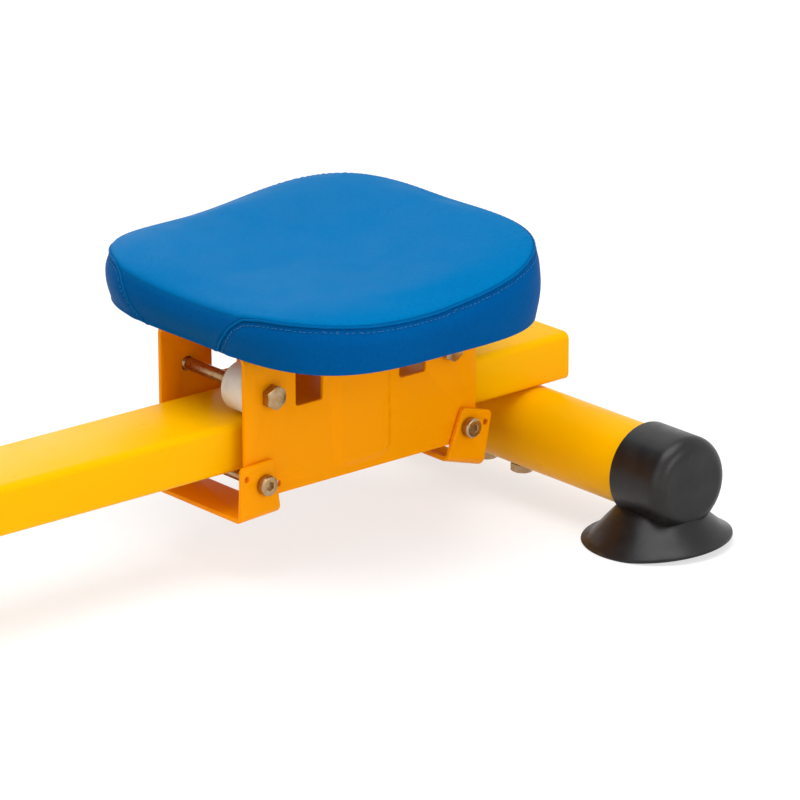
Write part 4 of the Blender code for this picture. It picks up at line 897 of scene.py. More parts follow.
def make_rail():
    outline = framed(-RAIL_HALF_WIDTH, RAIL_BOTTOM, RAIL_HALF_WIDTH, RAIL_TOP, RAIL_CORNER)
    end, edge = RAIL_HALF_LENGTH, TUBE_EDGE
    levels = ((edge, -end), (0, -end + edge), (0, end - edge), (edge, end), (RAIL_WALL, end), (RAIL_WALL, -end))
    dress("main_rail", skin(drawn(outline, along_x, levels), loop=True), PAINT)
    for word, side in (("rear", 1), ("front", -1)):
        rings = []
        for inset, depth in ((0, PLUG_DEPTH), (0, 0.0006), (0.0006, 0), (0.0032, 0), (0.0036, 0.0012)):
            room = RAIL_WALL + TOUCH + inset
            wide = RAIL_HALF_WIDTH - room
            line = rectangle(-wide, RAIL_BOTTOM + room, wide, RAIL_TOP - room, PLUG_CORNER - inset * 0.3)
            rings.append(along_x(line, side * (PLUG_FACE - depth)))
        dress(f"rail_{word}_plug", skin(rings), PLASTIC)


def tube_shape(x, half):
    profile = sleeve(-half, half, TUBE_RADIUS, TUBE_RADIUS - TUBE_WALL, TUBE_EDGE)
    return turned(profile, "Y", (x, 0, TUBE_HEIGHT), loop=True)


def clevis_ear(start, end):
    line = arc(BASE_X, BASE_Z, EAR_RADIUS, 0, 180, 24)
    line += [(BASE_X - EAR_RADIUS, 0.064), (-0.565, 0.0618), (BASE_X + EAR_RADIUS, 0.080)]
    return block(lambda inset: inset_line(line, inset), along_y, start, end, SHEET_EDGE)


def inset_line(line, inset):
    """A closed line moved in by inset, point by point."""
    points = [Vector(p) for p in line]
    middle = sum(points, Vector((0, 0))) / len(points)
    made = []
    for k, here in enumerate(points):
        along = (points[(k + 1) % len(points)] - points[k - 1]).normalized()
        normal = Vector((-along.y, along.x))
        if normal.dot(middle - here) < 0:
            normal = -normal
        made.append(tuple(here + normal * inset))
    return made


def bead(path, radius, seed=0):
    """A weld bead: a lumpy round cord along a path."""
    points = [Vector(p) for p in path]
    rings = []
    for k, (here, heading) in enumerate(zip(points, headings(points))):
        across = heading.orthogonal().normalized()
        swell = radius * (1 + 0.10 * math.sin(k * 2.1 + seed) + 0.12 * noise.noise(here * 300))
        if k in (0, len(points) - 1):
            swell *= 0.45
        rings.append(hoop(here, across, heading.cross(across), swell, 12))
    return skin(rings)


def make_stabilisers():
    dress("rear_stabiliser", tube_shape(STABILISER_X, REAR_HALF), PAINT)
    parts = [tube_shape(-STABILISER_X, FRONT_HALF)]
    weld = arc(-STABILISER_X, TUBE_HEIGHT, TUBE_RADIUS, 72, 110, 12)
    for side in SIDES.values():
        for ear in (-1, 1):
            near = side * CYLINDER_PLANE + ear * (EYE_WIDTH / 2 + EAR_PLAY)
            start, end = sorted((near, near + ear * EAR_SHEET))
            parts.append(clevis_ear(start, end))
            parts += [bead(along_y(weld, face), 0.0018) for face in (start, end)]
    dress("front_stabiliser", merged(*parts), PAINT)
    for end, x in (("front", -STABILISER_X), ("rear", STABILISER_X)):
        for word, side in SIDES.items():
            centre = (x, side * STABILISER_BOLT, TUBE_HEIGHT - TUBE_RADIUS - TOUCH)
            reach = TUBE_RADIUS * 2 + 2 * TOUCH + RAIL_WALL + NUT_HEIGHT
            dress(f"{end}_stabiliser_bolt_{word}", hex_bolt("Z", centre, -1, reach, 0.016), STEEL)


def shank_rows(side, reach, threaded):
    """A bolt's rows from its thread's start to its tip."""
    rows = thread_rows(BOLT_RADIUS, BOLT_PITCH, -side * (reach - threaded), -side * (reach - 0.0008))
    return rows + [(-side * reach, BOLT_RADIUS * 0.78), (-side * reach, 0)]


def hex_bolt(axis, centre, side, reach, threaded):
    """A hex-headed bolt. Its head's underside lies at centre and its head points to side, its shank away."""
    rows = [(side * HEX_HEIGHT, 0)] + hex_rows(HEX_FLATS, 0, side * HEX_HEIGHT)[::-1]
    rows += [(0, BOLT_RADIUS + 0.0004), (-side * 0.0004, BOLT_RADIUS)] + shank_rows(side, reach, threaded)
    return turned(rows, axis, centre, HEX_ROUND)


def socket_rows(floor, mouth, side, flats):
    """A hexagon socket's rows, from the middle of its floor to its mouth."""
    rows = [(floor, 0), lambda t: (floor, hexagon(t, flats)), lambda t: (mouth - side * 0.0003, hexagon(t, flats))]
    return rows + [lambda t: (mouth, hexagon(t, flats) + 0.0003)]


def socket_bolt(axis, centre, side, reach, threaded):
    """A round-headed bolt with a hexagon socket."""
    height, head, socket, floor = 0.005, 0.006, 0.0048, 0.0028
    rows = socket_rows(side * floor, side * height, side, socket)
    edge = ((0, 0), (0.0002, 0.0007), (0.0006, 0.0011), (0.0013, 0.0013))
    rows += [(side * (height - down), head - 0.0013 + out) for down, out in edge]
    rows += [(side * 0.0003, head), (0, head - 0.0003), (0, BOLT_RADIUS)] + shank_rows(side, reach, threaded)
    return turned(rows, axis, centre, HEX_ROUND)


def hex_nut(axis, centre, side, flats=HEX_FLATS, bore=BOLT_RADIUS):
    """A nut from centre out to side."""
    rows = hex_rows(flats, 0, side * NUT_HEIGHT, both=True)
    rows += [(side * NUT_HEIGHT, bore + 0.0009), (side * (NUT_HEIGHT - 0.0007), bore + 0.0002)]
    rows += [(side * 0.0007, bore + 0.0002), (0, bore + 0.0009)]
    return turned(rows, axis, centre, HEX_ROUND, loop=True)


def make_feet():
    for end, x, half in (("rear", STABILISER_X, REAR_HALF), ("front", -STABILISER_X, FRONT_HALF)):
        for word, side in SIDES.items():
            shape = foot(x, side, half, *FOOT_SET.get((end, word), (0.0, 0.0, 0.0)))
            dress(f"{end}_{word}_foot", shape, RUBBER, angle=math.radians(28))


def foot(x, side, half, twist, lean, shift):
    """One moulding: the cap over the tube's end and the suction cup below it, which lies flat on the floor."""
    start = half - CAP_GRIP
    close = half + TOUCH + CAP_END_WALL
    lip = 0.0006
    profile = [(start, 0), (start, CAP_RADIUS - lip), (start + lip, CAP_RADIUS)]
    profile += [(start + (close - CAP_ROUND - start) * k / 6, CAP_RADIUS) for k in range(1, 6)]
    profile += [(close - CAP_ROUND + b, CAP_RADIUS - CAP_ROUND + a) for a, b in arc(0, 0, CAP_ROUND, 0, 90, 10)]
    profile += [(close, 0.012), (close, 0)]
    centre = (x, 0, TUBE_HEIGHT)
    cap = turned([(side * along, radius) for along, radius in profile], "Y", centre)
    axis = (start + close) / 2 - CUP_SETBACK
    cup = turned(CUP)
    pivot = Matrix.Translation((0, 0, TUBE_HEIGHT))
    tilt = pivot @ Matrix.Rotation(lean, 4, "X") @ Matrix.Rotation(twist, 4, "Y") @ pivot.inverted()
    for vertex in cup.verts:
        lowest = vertex.co.z * RIM_PRESSED
        vertex.co = tilt @ vertex.co
        vertex.co.z = max(vertex.co.z, lowest)
    cup.transform(Matrix.Translation((x + shift, side * axis, 0)))
    bore = [(side * (axis - CUP_RADIUS), 0), (side * (axis - CUP_RADIUS), TUBE_RADIUS + TOUCH)]
    bore += [(side * (half + TOUCH), TUBE_RADIUS + TOUCH), (side * (half + TOUCH), 0)]
    whole = solved(cap, [cup], "UNION")
    return solved(whole, [turned(bore, "Y", centre)], "DIFFERENCE")


# Carriage

def fold(shape, half, level, bend, legs, sheet=SHEET):
    """Folds a flat plate into a channel. legs is -1 for legs that hang down and 1 for legs that stand up."""
    flat = half - bend
    neutral = bend - sheet / 2
    turn = math.pi / 2 * neutral
    cut_lines(shape, [side * (flat + turn * k / BEND_CUTS) for side in (-1, 1) for k in range(BEND_CUTS + 1)], 1)
    for vertex in shape.verts:
        x, across, out = vertex.co
        side = 1 if across > 0 else -1
        s = abs(across)
        if s <= flat:
            y, depth = s, sheet / 2 - out
        elif s <= flat + turn:
            angle = (s - flat) / neutral
            y = flat + (neutral + out) * math.sin(angle)
            depth = bend - (neutral + out) * math.cos(angle)
        else:
            y, depth = half - sheet / 2 + out, bend + s - flat - turn
        vertex.co = (x, side * y, level + legs * depth)
    bmesh.ops.recalc_face_normals(shape, faces=shape.faces)


def on_leg(half, bend, depth, sheet=SHEET):
    """How far from the middle a place on a leg lies in the flat, from its depth below the web's outer face."""
    return half - bend + math.pi / 2 * (bend - sheet / 2) + depth - bend


def mirrored(loops):
    """Loops on one leg, and the same on the other."""
    return loops + [[(a, -b) for a, b in loop][::-1] for loop in loops]


def make_bracket():
    def leg(z):
        return on_leg(BRACKET_HALF, BRACKET_BEND, BRACKET_TOP - z)

    foot_s = leg(BRACKET_FOOT)
    front, rear = BRACKET_FRONT + BRACKET_SET_BACK, BRACKET_REAR
    notch = BRACKET_HALF - BRACKET_BEND - 0.004
    corners = [(rear, foot_s, 0.003), (front, foot_s, 0.003), (front, notch, 0.0015), (front + NOTCH, notch, 0.003)]
    corners += [(a, -b, r) for a, b, r in corners[::-1]][:3]
    corners += [(rear, -foot_s, 0.003), (rear, -notch, 0.0015), (rear - NOTCH, -notch, 0.003)]
    corners += [(rear - NOTCH, notch, 0.003), (rear, notch, 0.0015)]
    holes = []
    for x in (BRACKET_X - WINDOW_OFFSET, BRACKET_X + WINDOW_OFFSET):
        holes.append(rectangle(x - WINDOW_HALF, leg(WINDOW_TOP), x + WINDOW_HALF, leg(WINDOW_BOTTOM), 0.002))
    spots = [(x, AXLE_Z, BOLT_HOLE) for x in (FRONT_AXLE_X, REAR_AXLE_X)]
    spots += [(x, RETAINER_Z, BOLT_HOLE) for x in (FRONT_RETAINER_X, REAR_RETAINER_X)]
    spots.append((FRONT_RETAINER_X + SMALL_HOLE_OFFSET, RETAINER_Z - 0.0034, SMALL_HOLE))
    holes += [circle(x, leg(z), radius) for x, z, radius in spots]
    shape = plate([rounded(corners)] + mirrored(holes) + [circle(x, y, 0.0032) for x, y in SCREWS], SHEET)
    press_pad(shape, leg(BRACKET_FOOT + 0.0068), leg(BRACKET_TOP - BRACKET_BEND))
    fold(shape, BRACKET_HALF, BRACKET_TOP, BRACKET_BEND, -1)
    dress("carriage_bracket", shape, SHADED_CARRIAGE_PAINT)


def press_pad(shape, low, high):
    """Presses a pad out of both legs of the flat plate, between two places on them."""
    middle, half_height = (low + high) / 2, (low - high) / 2

    def near(point):
        beside, above = abs(point.x - BRACKET_X) - PAD_HALF, abs(abs(point.y) - middle) - half_height
        return beside < PAD_REACH and above < PAD_REACH

    steps = [k * 0.0007 for k in range(-4, 13)]
    cut_lines(shape, [BRACKET_X + side * (PAD_HALF - step) for side in (-1, 1) for step in steps], 0)
    cut_lines(shape, [side * (low - step) for side in (-1, 1) for step in steps], 1)
    cut_lines(shape, [side * (high + step) for side in (-1, 1) for step in steps], 1, near)
    for vertex in shape.verts:
        dx = abs(vertex.co.x - BRACKET_X) - (PAD_HALF - PAD_CORNER)
        ds = abs(abs(vertex.co.y) - middle) - (half_height - PAD_CORNER)
        inside = PAD_CORNER - math.hypot(max(dx, 0), max(ds, 0)) - min(max(dx, ds), 0)
        vertex.co.z += PAD_RISE * smooth_step(inside, -PAD_SLOPE / 2, PAD_SLOPE / 2)


def make_retainer(name, x, outward, tilt, lower):
    """A strap under the rail. lower is how far the sheet hangs below the place that the plain one has."""
    level = RETAINER_Z - 0.0205 - lower

    def leg(z):
        return on_leg(STRAP_HALF, STRAP_BEND, z - level)

    top, root = leg(RETAINER_Z + 0.0135 - lower), leg(level + STRAP_BEND)
    wide, narrow, taper = outward * 0.0185, -outward * 0.0105, outward * 0.0026
    corners = [(wide, root, 0), (wide - taper, top, 0.003), (narrow + taper, top, 0.003), (narrow, root, 0)]
    corners += [(a, -b, r) for a, b, r in corners[::-1]]
    corners = corners[::outward]
    holes = [circle(x, leg(RETAINER_Z), BOLT_HOLE)]
    holes.append(circle(x + outward * SMALL_HOLE_OFFSET, leg(RETAINER_Z + 0.0062 - lower), SMALL_HOLE))
    shape = plate([[(x + a, b) for a, b in rounded(corners)]] + mirrored(holes), SHEET)
    fold(shape, STRAP_HALF, level, STRAP_BEND, 1)
    pivot = Matrix.Translation((x, 0, RETAINER_Z))
    shape.transform(pivot @ Matrix.Rotation(-tilt, 4, "Y") @ pivot.inverted())
    dress(name, shape, SHADED_CARRIAGE_PAINT)


def bolt_through(bolt, nut, x, half, z, form):
    """A bolt from the near side through both walls, and its nut on the far side."""
    near = -half - TOUCH
    dress(bolt, form("Y", (x, near, z), -1, -2 * near + NUT_HEIGHT + BOLT_TAIL, 0.014), STEEL)
    dress(nut, hex_nut("Y", (x, -near, z), 1), STEEL)


def make_roller(name, x, side):
    far = BRACKET_HALF - SHEET - ROLLER_PLAY
    near = far - ROLLER_WIDTH
    half = [(0, BOLT_RADIUS + 0.0001), (0, 0.0072), (0.0009, 0.0078), (0.0009, 0.0112), (0, 0.0118)]
    half += [(0, WHEEL_RADIUS - 0.0012), (0.0004, WHEEL_RADIUS - 0.0005), (0.0012, WHEEL_RADIUS)]
    profile = [(side * (near + deep), radius) for deep, radius in half]
    profile += [(side * (far - deep), radius) for deep, radius in half[::-1]]
    dress(name, turned(profile, "Y", (x, 0, AXLE_Z), loop=True), WHITE)


def make_carriage():
    make_bracket()
    make_retainer("front_retainer", FRONT_RETAINER_X, -1, math.radians(3), 0)
    make_retainer("rear_retainer", REAR_RETAINER_X, 1, math.radians(-16.5), REAR_STRAP_LOWER)
    for end, x in (("front", FRONT_AXLE_X), ("rear", REAR_AXLE_X)):
        bolt_through(f"{end}_axle", f"{end}_axle_nut", x, BRACKET_HALF, AXLE_Z, hex_bolt)
    for end, x in (("front", FRONT_RETAINER_X), ("rear", REAR_RETAINER_X)):
        bolt_through(f"{end}_retainer_bolt", f"{end}_retainer_nut", x, STRAP_HALF, RETAINER_Z, socket_bolt)
    make_roller("front_roller", FRONT_AXLE_X, -1)
    make_roller("rear_roller", REAR_AXLE_X, 1)


# Seat cushion

def seat_reach(angle):
    """How far the seat's side lies from its centre at an angle."""
    along = abs(math.cos(angle)) / SEAT_HALF_LENGTH
    across = abs(math.sin(angle)) / SEAT_HALF_WIDTH
    full = (along**SEAT_SQUARENESS + across**SEAT_SQUARENESS) ** (-1 / SEAT_SQUARENESS)
    return full - SEAT_DRAWN_IN * math.cos(2 * angle) ** 2


def seat_height(x, y):
    """The level of the top before its crown, higher at the rear and at the sides."""
    a, b = x / SEAT_HALF_LENGTH, y / SEAT_HALF_WIDTH
    return 0.0314 + 0.0112 * a + 0.012 * a * a + (0.0061 - 0.0049 * a) * b * b


def seat_spoke(angle):
    """(distance from the centre, height) up the seat's side and over its top at one angle."""
    reach = seat_reach(angle)
    across_x, across_y = math.cos(angle), math.sin(angle)
    seam = seat_height(reach * across_x, reach * across_y) - SEAT_EDGE_FALL

    def top(distance):
        crown = SEAT_CROWN * (1 - (distance / reach) ** 4)
        return seat_height(distance * across_x, distance * across_y) + crown

    spoke = [(reach - 0.0090, 0), (reach - 0.0060, 0)]
    for k in range(UNDER_STEPS):
        turn = math.pi / 2 * k / UNDER_STEPS
        spoke.append((reach - UNDER_ROUND * (1 - math.sin(turn)), UNDER_ROUND * (1 - math.cos(turn))))
    for k in range(BAND_STEPS + 1):
        share = k / BAND_STEPS
        height = UNDER_ROUND + (seam - UNDER_ROUND) * share
        spoke.append((reach + BAND_BULGE * math.sin(math.pi * share), height))
    for k in range(1, ROLL_STEPS + 1):
        turn = math.pi / 2 * k / ROLL_STEPS
        distance = reach - SEAT_ROLL * (1 - math.cos(turn))
        spoke.append((distance, top(distance) - SEAT_EDGE_FALL * (1 - math.sin(turn))))
    inner = reach - SEAT_ROLL
    for k in range(1, TOP_STEPS + 1):
        share = 1 - k / TOP_STEPS * TOP_REACH
        spoke.append((inner * share, top(inner * share)))
    return spoke


def seat_grid():
    """The cushion's skin as an array: levels, angles, xyz."""
    angles = 2 * np.pi * np.arange(SEAT_ANGLES) / SEAT_ANGLES
    spokes = np.array([seat_spoke(angle) for angle in angles])
    distance, height = spokes[..., 0].T, spokes[..., 1].T
    return np.stack((SEAT_X + distance * np.cos(angles), distance * np.sin(angles), SEAT_BOTTOM + height), axis=2)


def pressed_out(grid):
    """The cushion's skin with the unevenness that its cover takes on as the foam under it presses it out."""
    coarse = grid[:, ::2]
    cover = holding("cover", skin(coarse))
    held = cover.vertex_groups.new(name="held")
    held.add(list(range((UNDER_STEPS + 1) * coarse.shape[1])), 1.0, "REPLACE")
    cloth = cover.modifiers.new("cloth", "CLOTH")
    for key, value in COVER_CLOTH.items():
        setattr(cloth.settings, key, value)
    cloth.settings.effector_weights.gravity = 0
    cloth.point_cache.frame_start = 1
    cloth.point_cache.frame_end = COVER_FRAMES
    for step in range(1, COVER_FRAMES + 1):
        bpy.context.scene.frame_set(step)
    graph = bpy.context.evaluated_depsgraph_get()
    made = cover.evaluated_get(graph).to_mesh()
    points = np.empty(len(made.vertices) * 3)
    made.vertices.foreach_get("co", points)
    out = ((points.reshape(coarse.shape) - coarse) * normals_of(coarse)).sum(axis=2)
    bpy.data.objects.remove(cover)
    bpy.context.scene.frame_set(1)
    uneven = spread_over(coarse, out, PRESS_FINEST) - spread_over(coarse, out, PRESS_BROADEST)
    uneven = PRESS_CAP * np.tanh(uneven / PRESS_CAP)
    uneven[:UNDER_STEPS + 1] = 0
    fuller = catmull(uneven.T, np.arange(grid.shape[1]) / 2, True).T
    return grid + normals_of(grid) * fuller[..., None]


def spread_over(grid, values, width):
    """Values on a skin, each one evened out over its neighbourhood."""
    points = grid.reshape(-1, 3).astype(np.float32)
    step = np.linalg.norm(np.roll(grid, -1, axis=1) - grid, axis=2)
    area = (step * np.linalg.norm(np.gradient(grid, axis=0), axis=2)).reshape(-1).astype(np.float32)
    wanted = values.reshape(-1).astype(np.float32)
    size = (points**2).sum(axis=1)
    made = np.empty(len(points))
    for start in range(0, len(points), 800):
        part = slice(start, start + 800)
        away = size[part, None] + size - 2 * points[part] @ points.T
        share = np.exp(-np.maximum(away, 0) / (2 * width**2)) * area
        made[part] = share @ wanted / share.sum(axis=1)
    return made.reshape(values.shape)


def catmull(values, places, loop):
    """Values along the first axis at fractional places, by a Catmull-Rom curve."""
    count = len(values)
    base = np.floor(places).astype(int)
    share = (places - base).reshape((-1,) + (1,) * (values.ndim - 1))
    picks = [base + k for k in (-1, 0, 1, 2)]
    picks = [p % count if loop else np.clip(p, 0, count - 1) for p in picks]
    a, b, c, d = (values[p] for p in picks)
    return b + 0.5 * share * (c - a + share * (2 * a - 5 * b + 4 * c - d + share * (3 * (b - c) + d - a)))


def seam_level(degrees):
    """The seam's level at an angle, and far below the cushion where the seam is missing."""
    table = np.array(SEAM)
    share = np.interp(degrees, table[:, 0], table[:, 1], left=-9.0, right=-9.0)
    above = ROLL_LEVEL + (share - 1) / ROLL_SHARE * ROLL_STEPS
    return np.where(share <= 1, BAND_LEVEL + share * BAND_STEPS, above)


def normals_of(grid):
    along = np.roll(grid, -1, axis=1) - np.roll(grid, 1, axis=1)
    up = np.gradient(grid, axis=0)
    normal = np.cross(along, up)
    return normal / np.maximum(np.linalg.norm(normal, axis=2, keepdims=True), 1e-12)


def smoothed_path(points, rounds):
    for _ in range(rounds):
        points[1:-1] = (points[:-2] + 2 * points[1:-1] + points[2:]) / 4
    return points


def finder(points):
    """A search tree of points."""
    tree = kdtree.KDTree(len(points))
    for k, point in enumerate(points):
        tree.insert(point, k)
    tree.balance()
    return tree


def run_of(path):
    """How far along a path each of its points lies."""
    return np.concatenate(([0], np.cumsum(np.linalg.norm(np.diff(path, axis=0), axis=1))))


def shade(piece, shares):
    """Marks how much painted shade deepens a vinyl piece's blue at each of its points."""
    piece.data.attributes.new("panel", "FLOAT", "POINT").data.foreach_set("value", shares)


def seam_path(grid):
    """Points along the seam, and their angles in degrees."""
    degrees = np.arange(SEAM[0][0], SEAM[-1][0], 0.1)
    levels = np.clip(seam_level(degrees), BAND_LEVEL - 1.5, None)
    columns = (degrees % 360) / 360 * SEAT_ANGLES
    path = np.array([surface_at(grid, level, column) for level, column in zip(levels, columns)])
    return smoothed_path(path, 30), degrees


def make_cushion():
    grid = seat_grid()
    grid = pressed_out(grid)
    levels = np.arange(0, len(grid) - 1 + 1e-6, 1 / FINE_LEVELS)
    angles = np.arange(0, SEAT_ANGLES, 1 / FINE_ANGLES)
    fine = catmull(grid, levels, False)
    fine = catmull(fine.transpose(1, 0, 2), angles, True).transpose(1, 0, 2)
    degrees = angles / SEAT_ANGLES * 360
    degrees = np.where(degrees > 180, degrees - 360, degrees)
    limit = seam_level(degrees)
    path, path_degrees = seam_path(grid)
    tree, run = finder(path), run_of(path)
    lift = np.zeros(fine.shape[:2])
    for i, level in enumerate(levels):
        if level < BAND_LEVEL - 3 or level > ROLL_LEVEL + ROLL_STEPS:
            continue
        for j in range(fine.shape[1]):
            _, k, distance = tree.find(fine[i, j])
            if distance < SEAM_REACH:
                above = 1 if level > limit[j] else -1
                lift[i, j] = seam_lift(above * distance, run[k], path_degrees[k])
    fine += normals_of(fine) * lift[..., None]
    pocket = pocket_rings(angles)
    start = 2 * FINE_LEVELS
    cushion = dress("seat_cushion", skin(pocket + list(fine[start:])), VINYL, math.radians(75))
    # Painted shade: full on the underside and on the band below the seam, and on the front, fading out over the edge
    # roll.
    below_edge = 1 - smooth_step(levels, ROLL_LEVEL - 3, ROLL_LEVEL + 5)[:, None]
    panel = np.maximum(smooth_step(np.abs(degrees), *FRONT_SHADE) * below_edge, levels[:, None] < limit)[start:]
    shade(cushion, np.concatenate((np.ones(len(pocket) * len(angles)), panel.reshape(-1))))
    make_seam(fine[start:], normals_of(fine)[start:], path)


def surface_at(grid, level, column):
    i, j = int(level), int(column)
    a, b = level - i, column - j
    j, following = j % SEAT_ANGLES, (j + 1) % SEAT_ANGLES
    low = grid[i, j] * (1 - b) + grid[i, following] * b
    high = grid[i + 1, j] * (1 - b) + grid[i + 1, following] * b
    return low * (1 - a) + high * a


def hump(value, middle, width):
    """1 at the middle, falling to 0 within a few widths."""
    return math.exp(-(((value - middle) / width) ** 2))


def seam_lift(signed, run, degrees):
    """How far the cover stands out at a signed distance from the seam: the cover's top piece above, the band below.
    """
    crease = -0.0008 * hump(signed, 0, 0.0006 if signed > 0 else 0.0009)
    clear = 1 - hump(signed, 0, 0.0007)
    if signed > 0:
        corner = hump(abs(degrees), 52, 20) + 0.35 * hump(abs(degrees), 128, 16)
        gather = math.sin(run * 2 * math.pi / 0.0041 + 2.2 * math.sin(run * 190)) * (0.6 + 0.4 * math.sin(run * 430))
        gather *= 0.00030 * corner * hump(signed, 0.0035, 0.0028)
        return crease + clear * (0.0004 * hump(signed, 0.0026, 0.0022) + gather)
    below = -signed
    dimple = -0.00035 * hump(below, STITCH_BELOW, 0.0009)
    wave = 0.00012 * math.sin(run * 2 * math.pi / STITCH_PITCH) * hump(below, STITCH_BELOW, 0.0013)
    tuck = -0.0003 * hump(below, 0, 0.0035) + 0.0003 * hump(below, 0.009, 0.004)
    return crease + clear * (dimple + wave + tuck)


def pocket_rings(angles):
    """The underside: a pocket round the board, and the cover's hem turned in under the board's edge."""
    rings = []
    turns = angles / SEAT_ANGLES * 2 * np.pi
    edge = np.array([board_reach(turn) for turn in turns])
    reach = np.array([seat_reach(turn) for turn in turns])
    ragged = np.array([0.0009 * noise.noise((9 * math.cos(t), 9 * math.sin(t), 0.5)) for t in turns])
    for distance, height in (
        (edge + TOUCH, 0.0123),
        (edge + TOUCH, 0.0),
        (edge - 0.012 + ragged, 0.0),
        (edge - 0.0123 + ragged, -0.0004),
        (edge - 0.012 + ragged, -0.0008),
        (edge - 0.001, -0.0008),
        (reach - 0.0055, -0.0003),
    ):
        level = SEAT_BOTTOM + height
        rings.append([(SEAT_X + d * math.cos(t), d * math.sin(t), level) for d, t in zip(distance, turns)])
    return rings


def board_reach(turn):
    """How far the board's edge lies from its centre at an angle."""
    a, b = abs(math.cos(turn)), abs(math.sin(turn))
    straight = min(BOARD_HALF_LENGTH / max(a, 1e-9), BOARD_HALF_WIDTH / max(b, 1e-9))
    middle_a, middle_b = BOARD_HALF_LENGTH - BOARD_CORNER, BOARD_HALF_WIDTH - BOARD_CORNER
    if straight * a <= middle_a or straight * b <= middle_b:
        return straight
    dot = middle_a * a + middle_b * b
    return dot + math.sqrt(max(dot * dot - middle_a**2 - middle_b**2 + BOARD_CORNER**2, 0))


def make_seam(grid, normals, path):
    """The welt along the seam and the row of stitches below it."""
    tree = finder(grid.reshape(-1, 3))
    normals = normals.reshape(-1, 3)
    run = run_of(path)

    def along(distance):
        return np.array([np.interp(distance, run, path[:, axis]) for axis in range(3)])

    def heading_at(distance):
        return Vector(along(distance + 0.001) - along(distance - 0.001)).normalized()

    def out_of(nearest):
        return Vector(normals[nearest])

    rings = []
    count = int(run[-1] / 0.0012)
    for k in range(count + 1):
        distance = run[-1] * k / count
        here = Vector(along(distance))
        out = out_of(tree.find(here)[1])
        across = heading_at(distance).cross(out).normalized()
        size = WELT_RADIUS * (1 + 0.06 * math.sin(k * 1.7))
        rings.append(hoop(here + out * 0.0001, out, across, size, 12))
    welt = add("seat_welt", skin(rings), VINYL, "carriage", math.radians(60))
    # The welt takes part of the band's painted shade.
    shade(welt, np.full(len(welt.data.vertices), WELT_PAINTED_SHADE))
    stitches = bmesh.new()
    for k in range(int(run[-1] / STITCH_PITCH) - 1):
        distance = STITCH_PITCH * (k + 0.75)
        here, heading = Vector(along(distance)), heading_at(distance)
        side = heading.cross(out_of(tree.find(here)[1])).normalized()
        if side.dot(band_side(here)) < 0:
            side = -side
        for _ in range(3):
            place, nearest, _ = tree.find(here + side * STITCH_BELOW)
            side = (place - here).normalized()
        out = out_of(nearest)
        heading = Matrix.Rotation(STITCH_LEAN, 3, out) @ (heading - out * heading.dot(out)).normalized()
        add_stitch(stitches, place + out * STITCH_LIFT, heading, out)
    add("seat_stitches", stitches, THREAD, "carriage", math.radians(60))


def band_side(point):
    """A direction that leads from the seam onto the band: down, outwards, and away from the cushion's front."""
    angle = math.atan2(point[1], point[0] - SEAT_X)
    side = math.copysign(1, angle)
    return Vector((math.cos(angle) + side * math.sin(angle), math.sin(angle) - side * math.cos(angle), -1))


def add_stitch(shape, middle, heading, out):
    across = heading.cross(out).normalized()
    rings = []
    for k in range(7):
        share = k / 6 * 2 - 1
        size = STITCH_RADIUS * math.sqrt(max(1 - abs(share) ** 3, 0.0)) + 0.00002
        centre = middle + heading * (share * STITCH_LENGTH / 2) - out * (0.0003 * abs(share) ** 3)
        rings.append([shape.verts.new(point) for point in hoop(centre, out, across, size, 8)])
    for first, second in zip(rings, rings[1:]):
        for j in range(8):
            shape.faces.new((first[j], first[(j + 1) % 8], second[(j + 1) % 8], second[j]))
    shape.faces.new(rings[0])
    shape.faces.new(rings[-1][::-1])


def make_board():
    low, high = SEAT_X - BOARD_HALF_LENGTH, SEAT_X + BOARD_HALF_LENGTH
    outline = framed(low, -BOARD_HALF_WIDTH, high, BOARD_HALF_WIDTH, BOARD_CORNER, 10)
    dress("seat_board", block(outline, along_z, SEAT_BOTTOM, SEAT_BOTTOM + BOARD_THICK), BOARD)
    rows = [(-0.0014, 0), (-0.0014, 0.0008), (-0.0030, 0.0009), (-0.0030, 0.0034), (-0.0022, 0.0049)]
    rows += [(-0.0006, 0.0055), (0, 0.0054), (0, 0.0030)] + thread_rows(0.003, 0.0018, 0.002, 0.0112)
    rows += [(0.012, 0.0012), (0.012, 0)]
    for number, (x, y) in enumerate(SCREWS, 1):
        shape = turned(rows, "Z", (x, y, BRACKET_TOP - SHEET - TOUCH), SMALL_ROUND)
        dress(f"seat_screw_{number}", shape, STEEL)


# Front end: crossmember, arms, cylinders

def swept(path, radius, steps=32, edge=BROKEN_EDGE):
    """A round bar along a path that turns about X, with its end edges broken."""
    points = [Vector(p) for p in path]
    last = len(points) - 1
    rings = []
    for k, (here, heading) in enumerate(zip(points, headings(points))):
        across = heading.cross(Vector((1, 0, 0))).normalized()
        sizes = {0: ((radius - edge, 0), (radius, edge)), last: ((radius, -edge), (radius - edge, 0))}
        for size, shift in sizes.get(k, ((radius, 0),)):
            rings.append(hoop(here + heading * shift, across, heading.cross(across), size, steps))
    return skin(rings)


def crank_frame():
    return Matrix.Translation((ARM_X, 0, ARM_Z)) @ Matrix.Rotation(ARM_LEAN, 4, "Y")


def arm_path(side):
    """The arm's bar in its own frame: up from the pivot, out through a double bend, and up again."""
    bend_start, bend_end = 0.105, 0.240
    points = [(0, side * ARM_PLANE, 0), (0, side * ARM_PLANE, bend_start)]
    for k in range(1, 24):
        share = k / 24
        out = ARM_SPLAY * (1 - math.cos(math.pi * share)) / 2
        points.append((0, side * (ARM_PLANE + out), bend_start + (bend_end - bend_start) * share))
    return points + [(0, side * (ARM_PLANE + ARM_SPLAY), z) for z in (bend_end, ARM_LENGTH)]


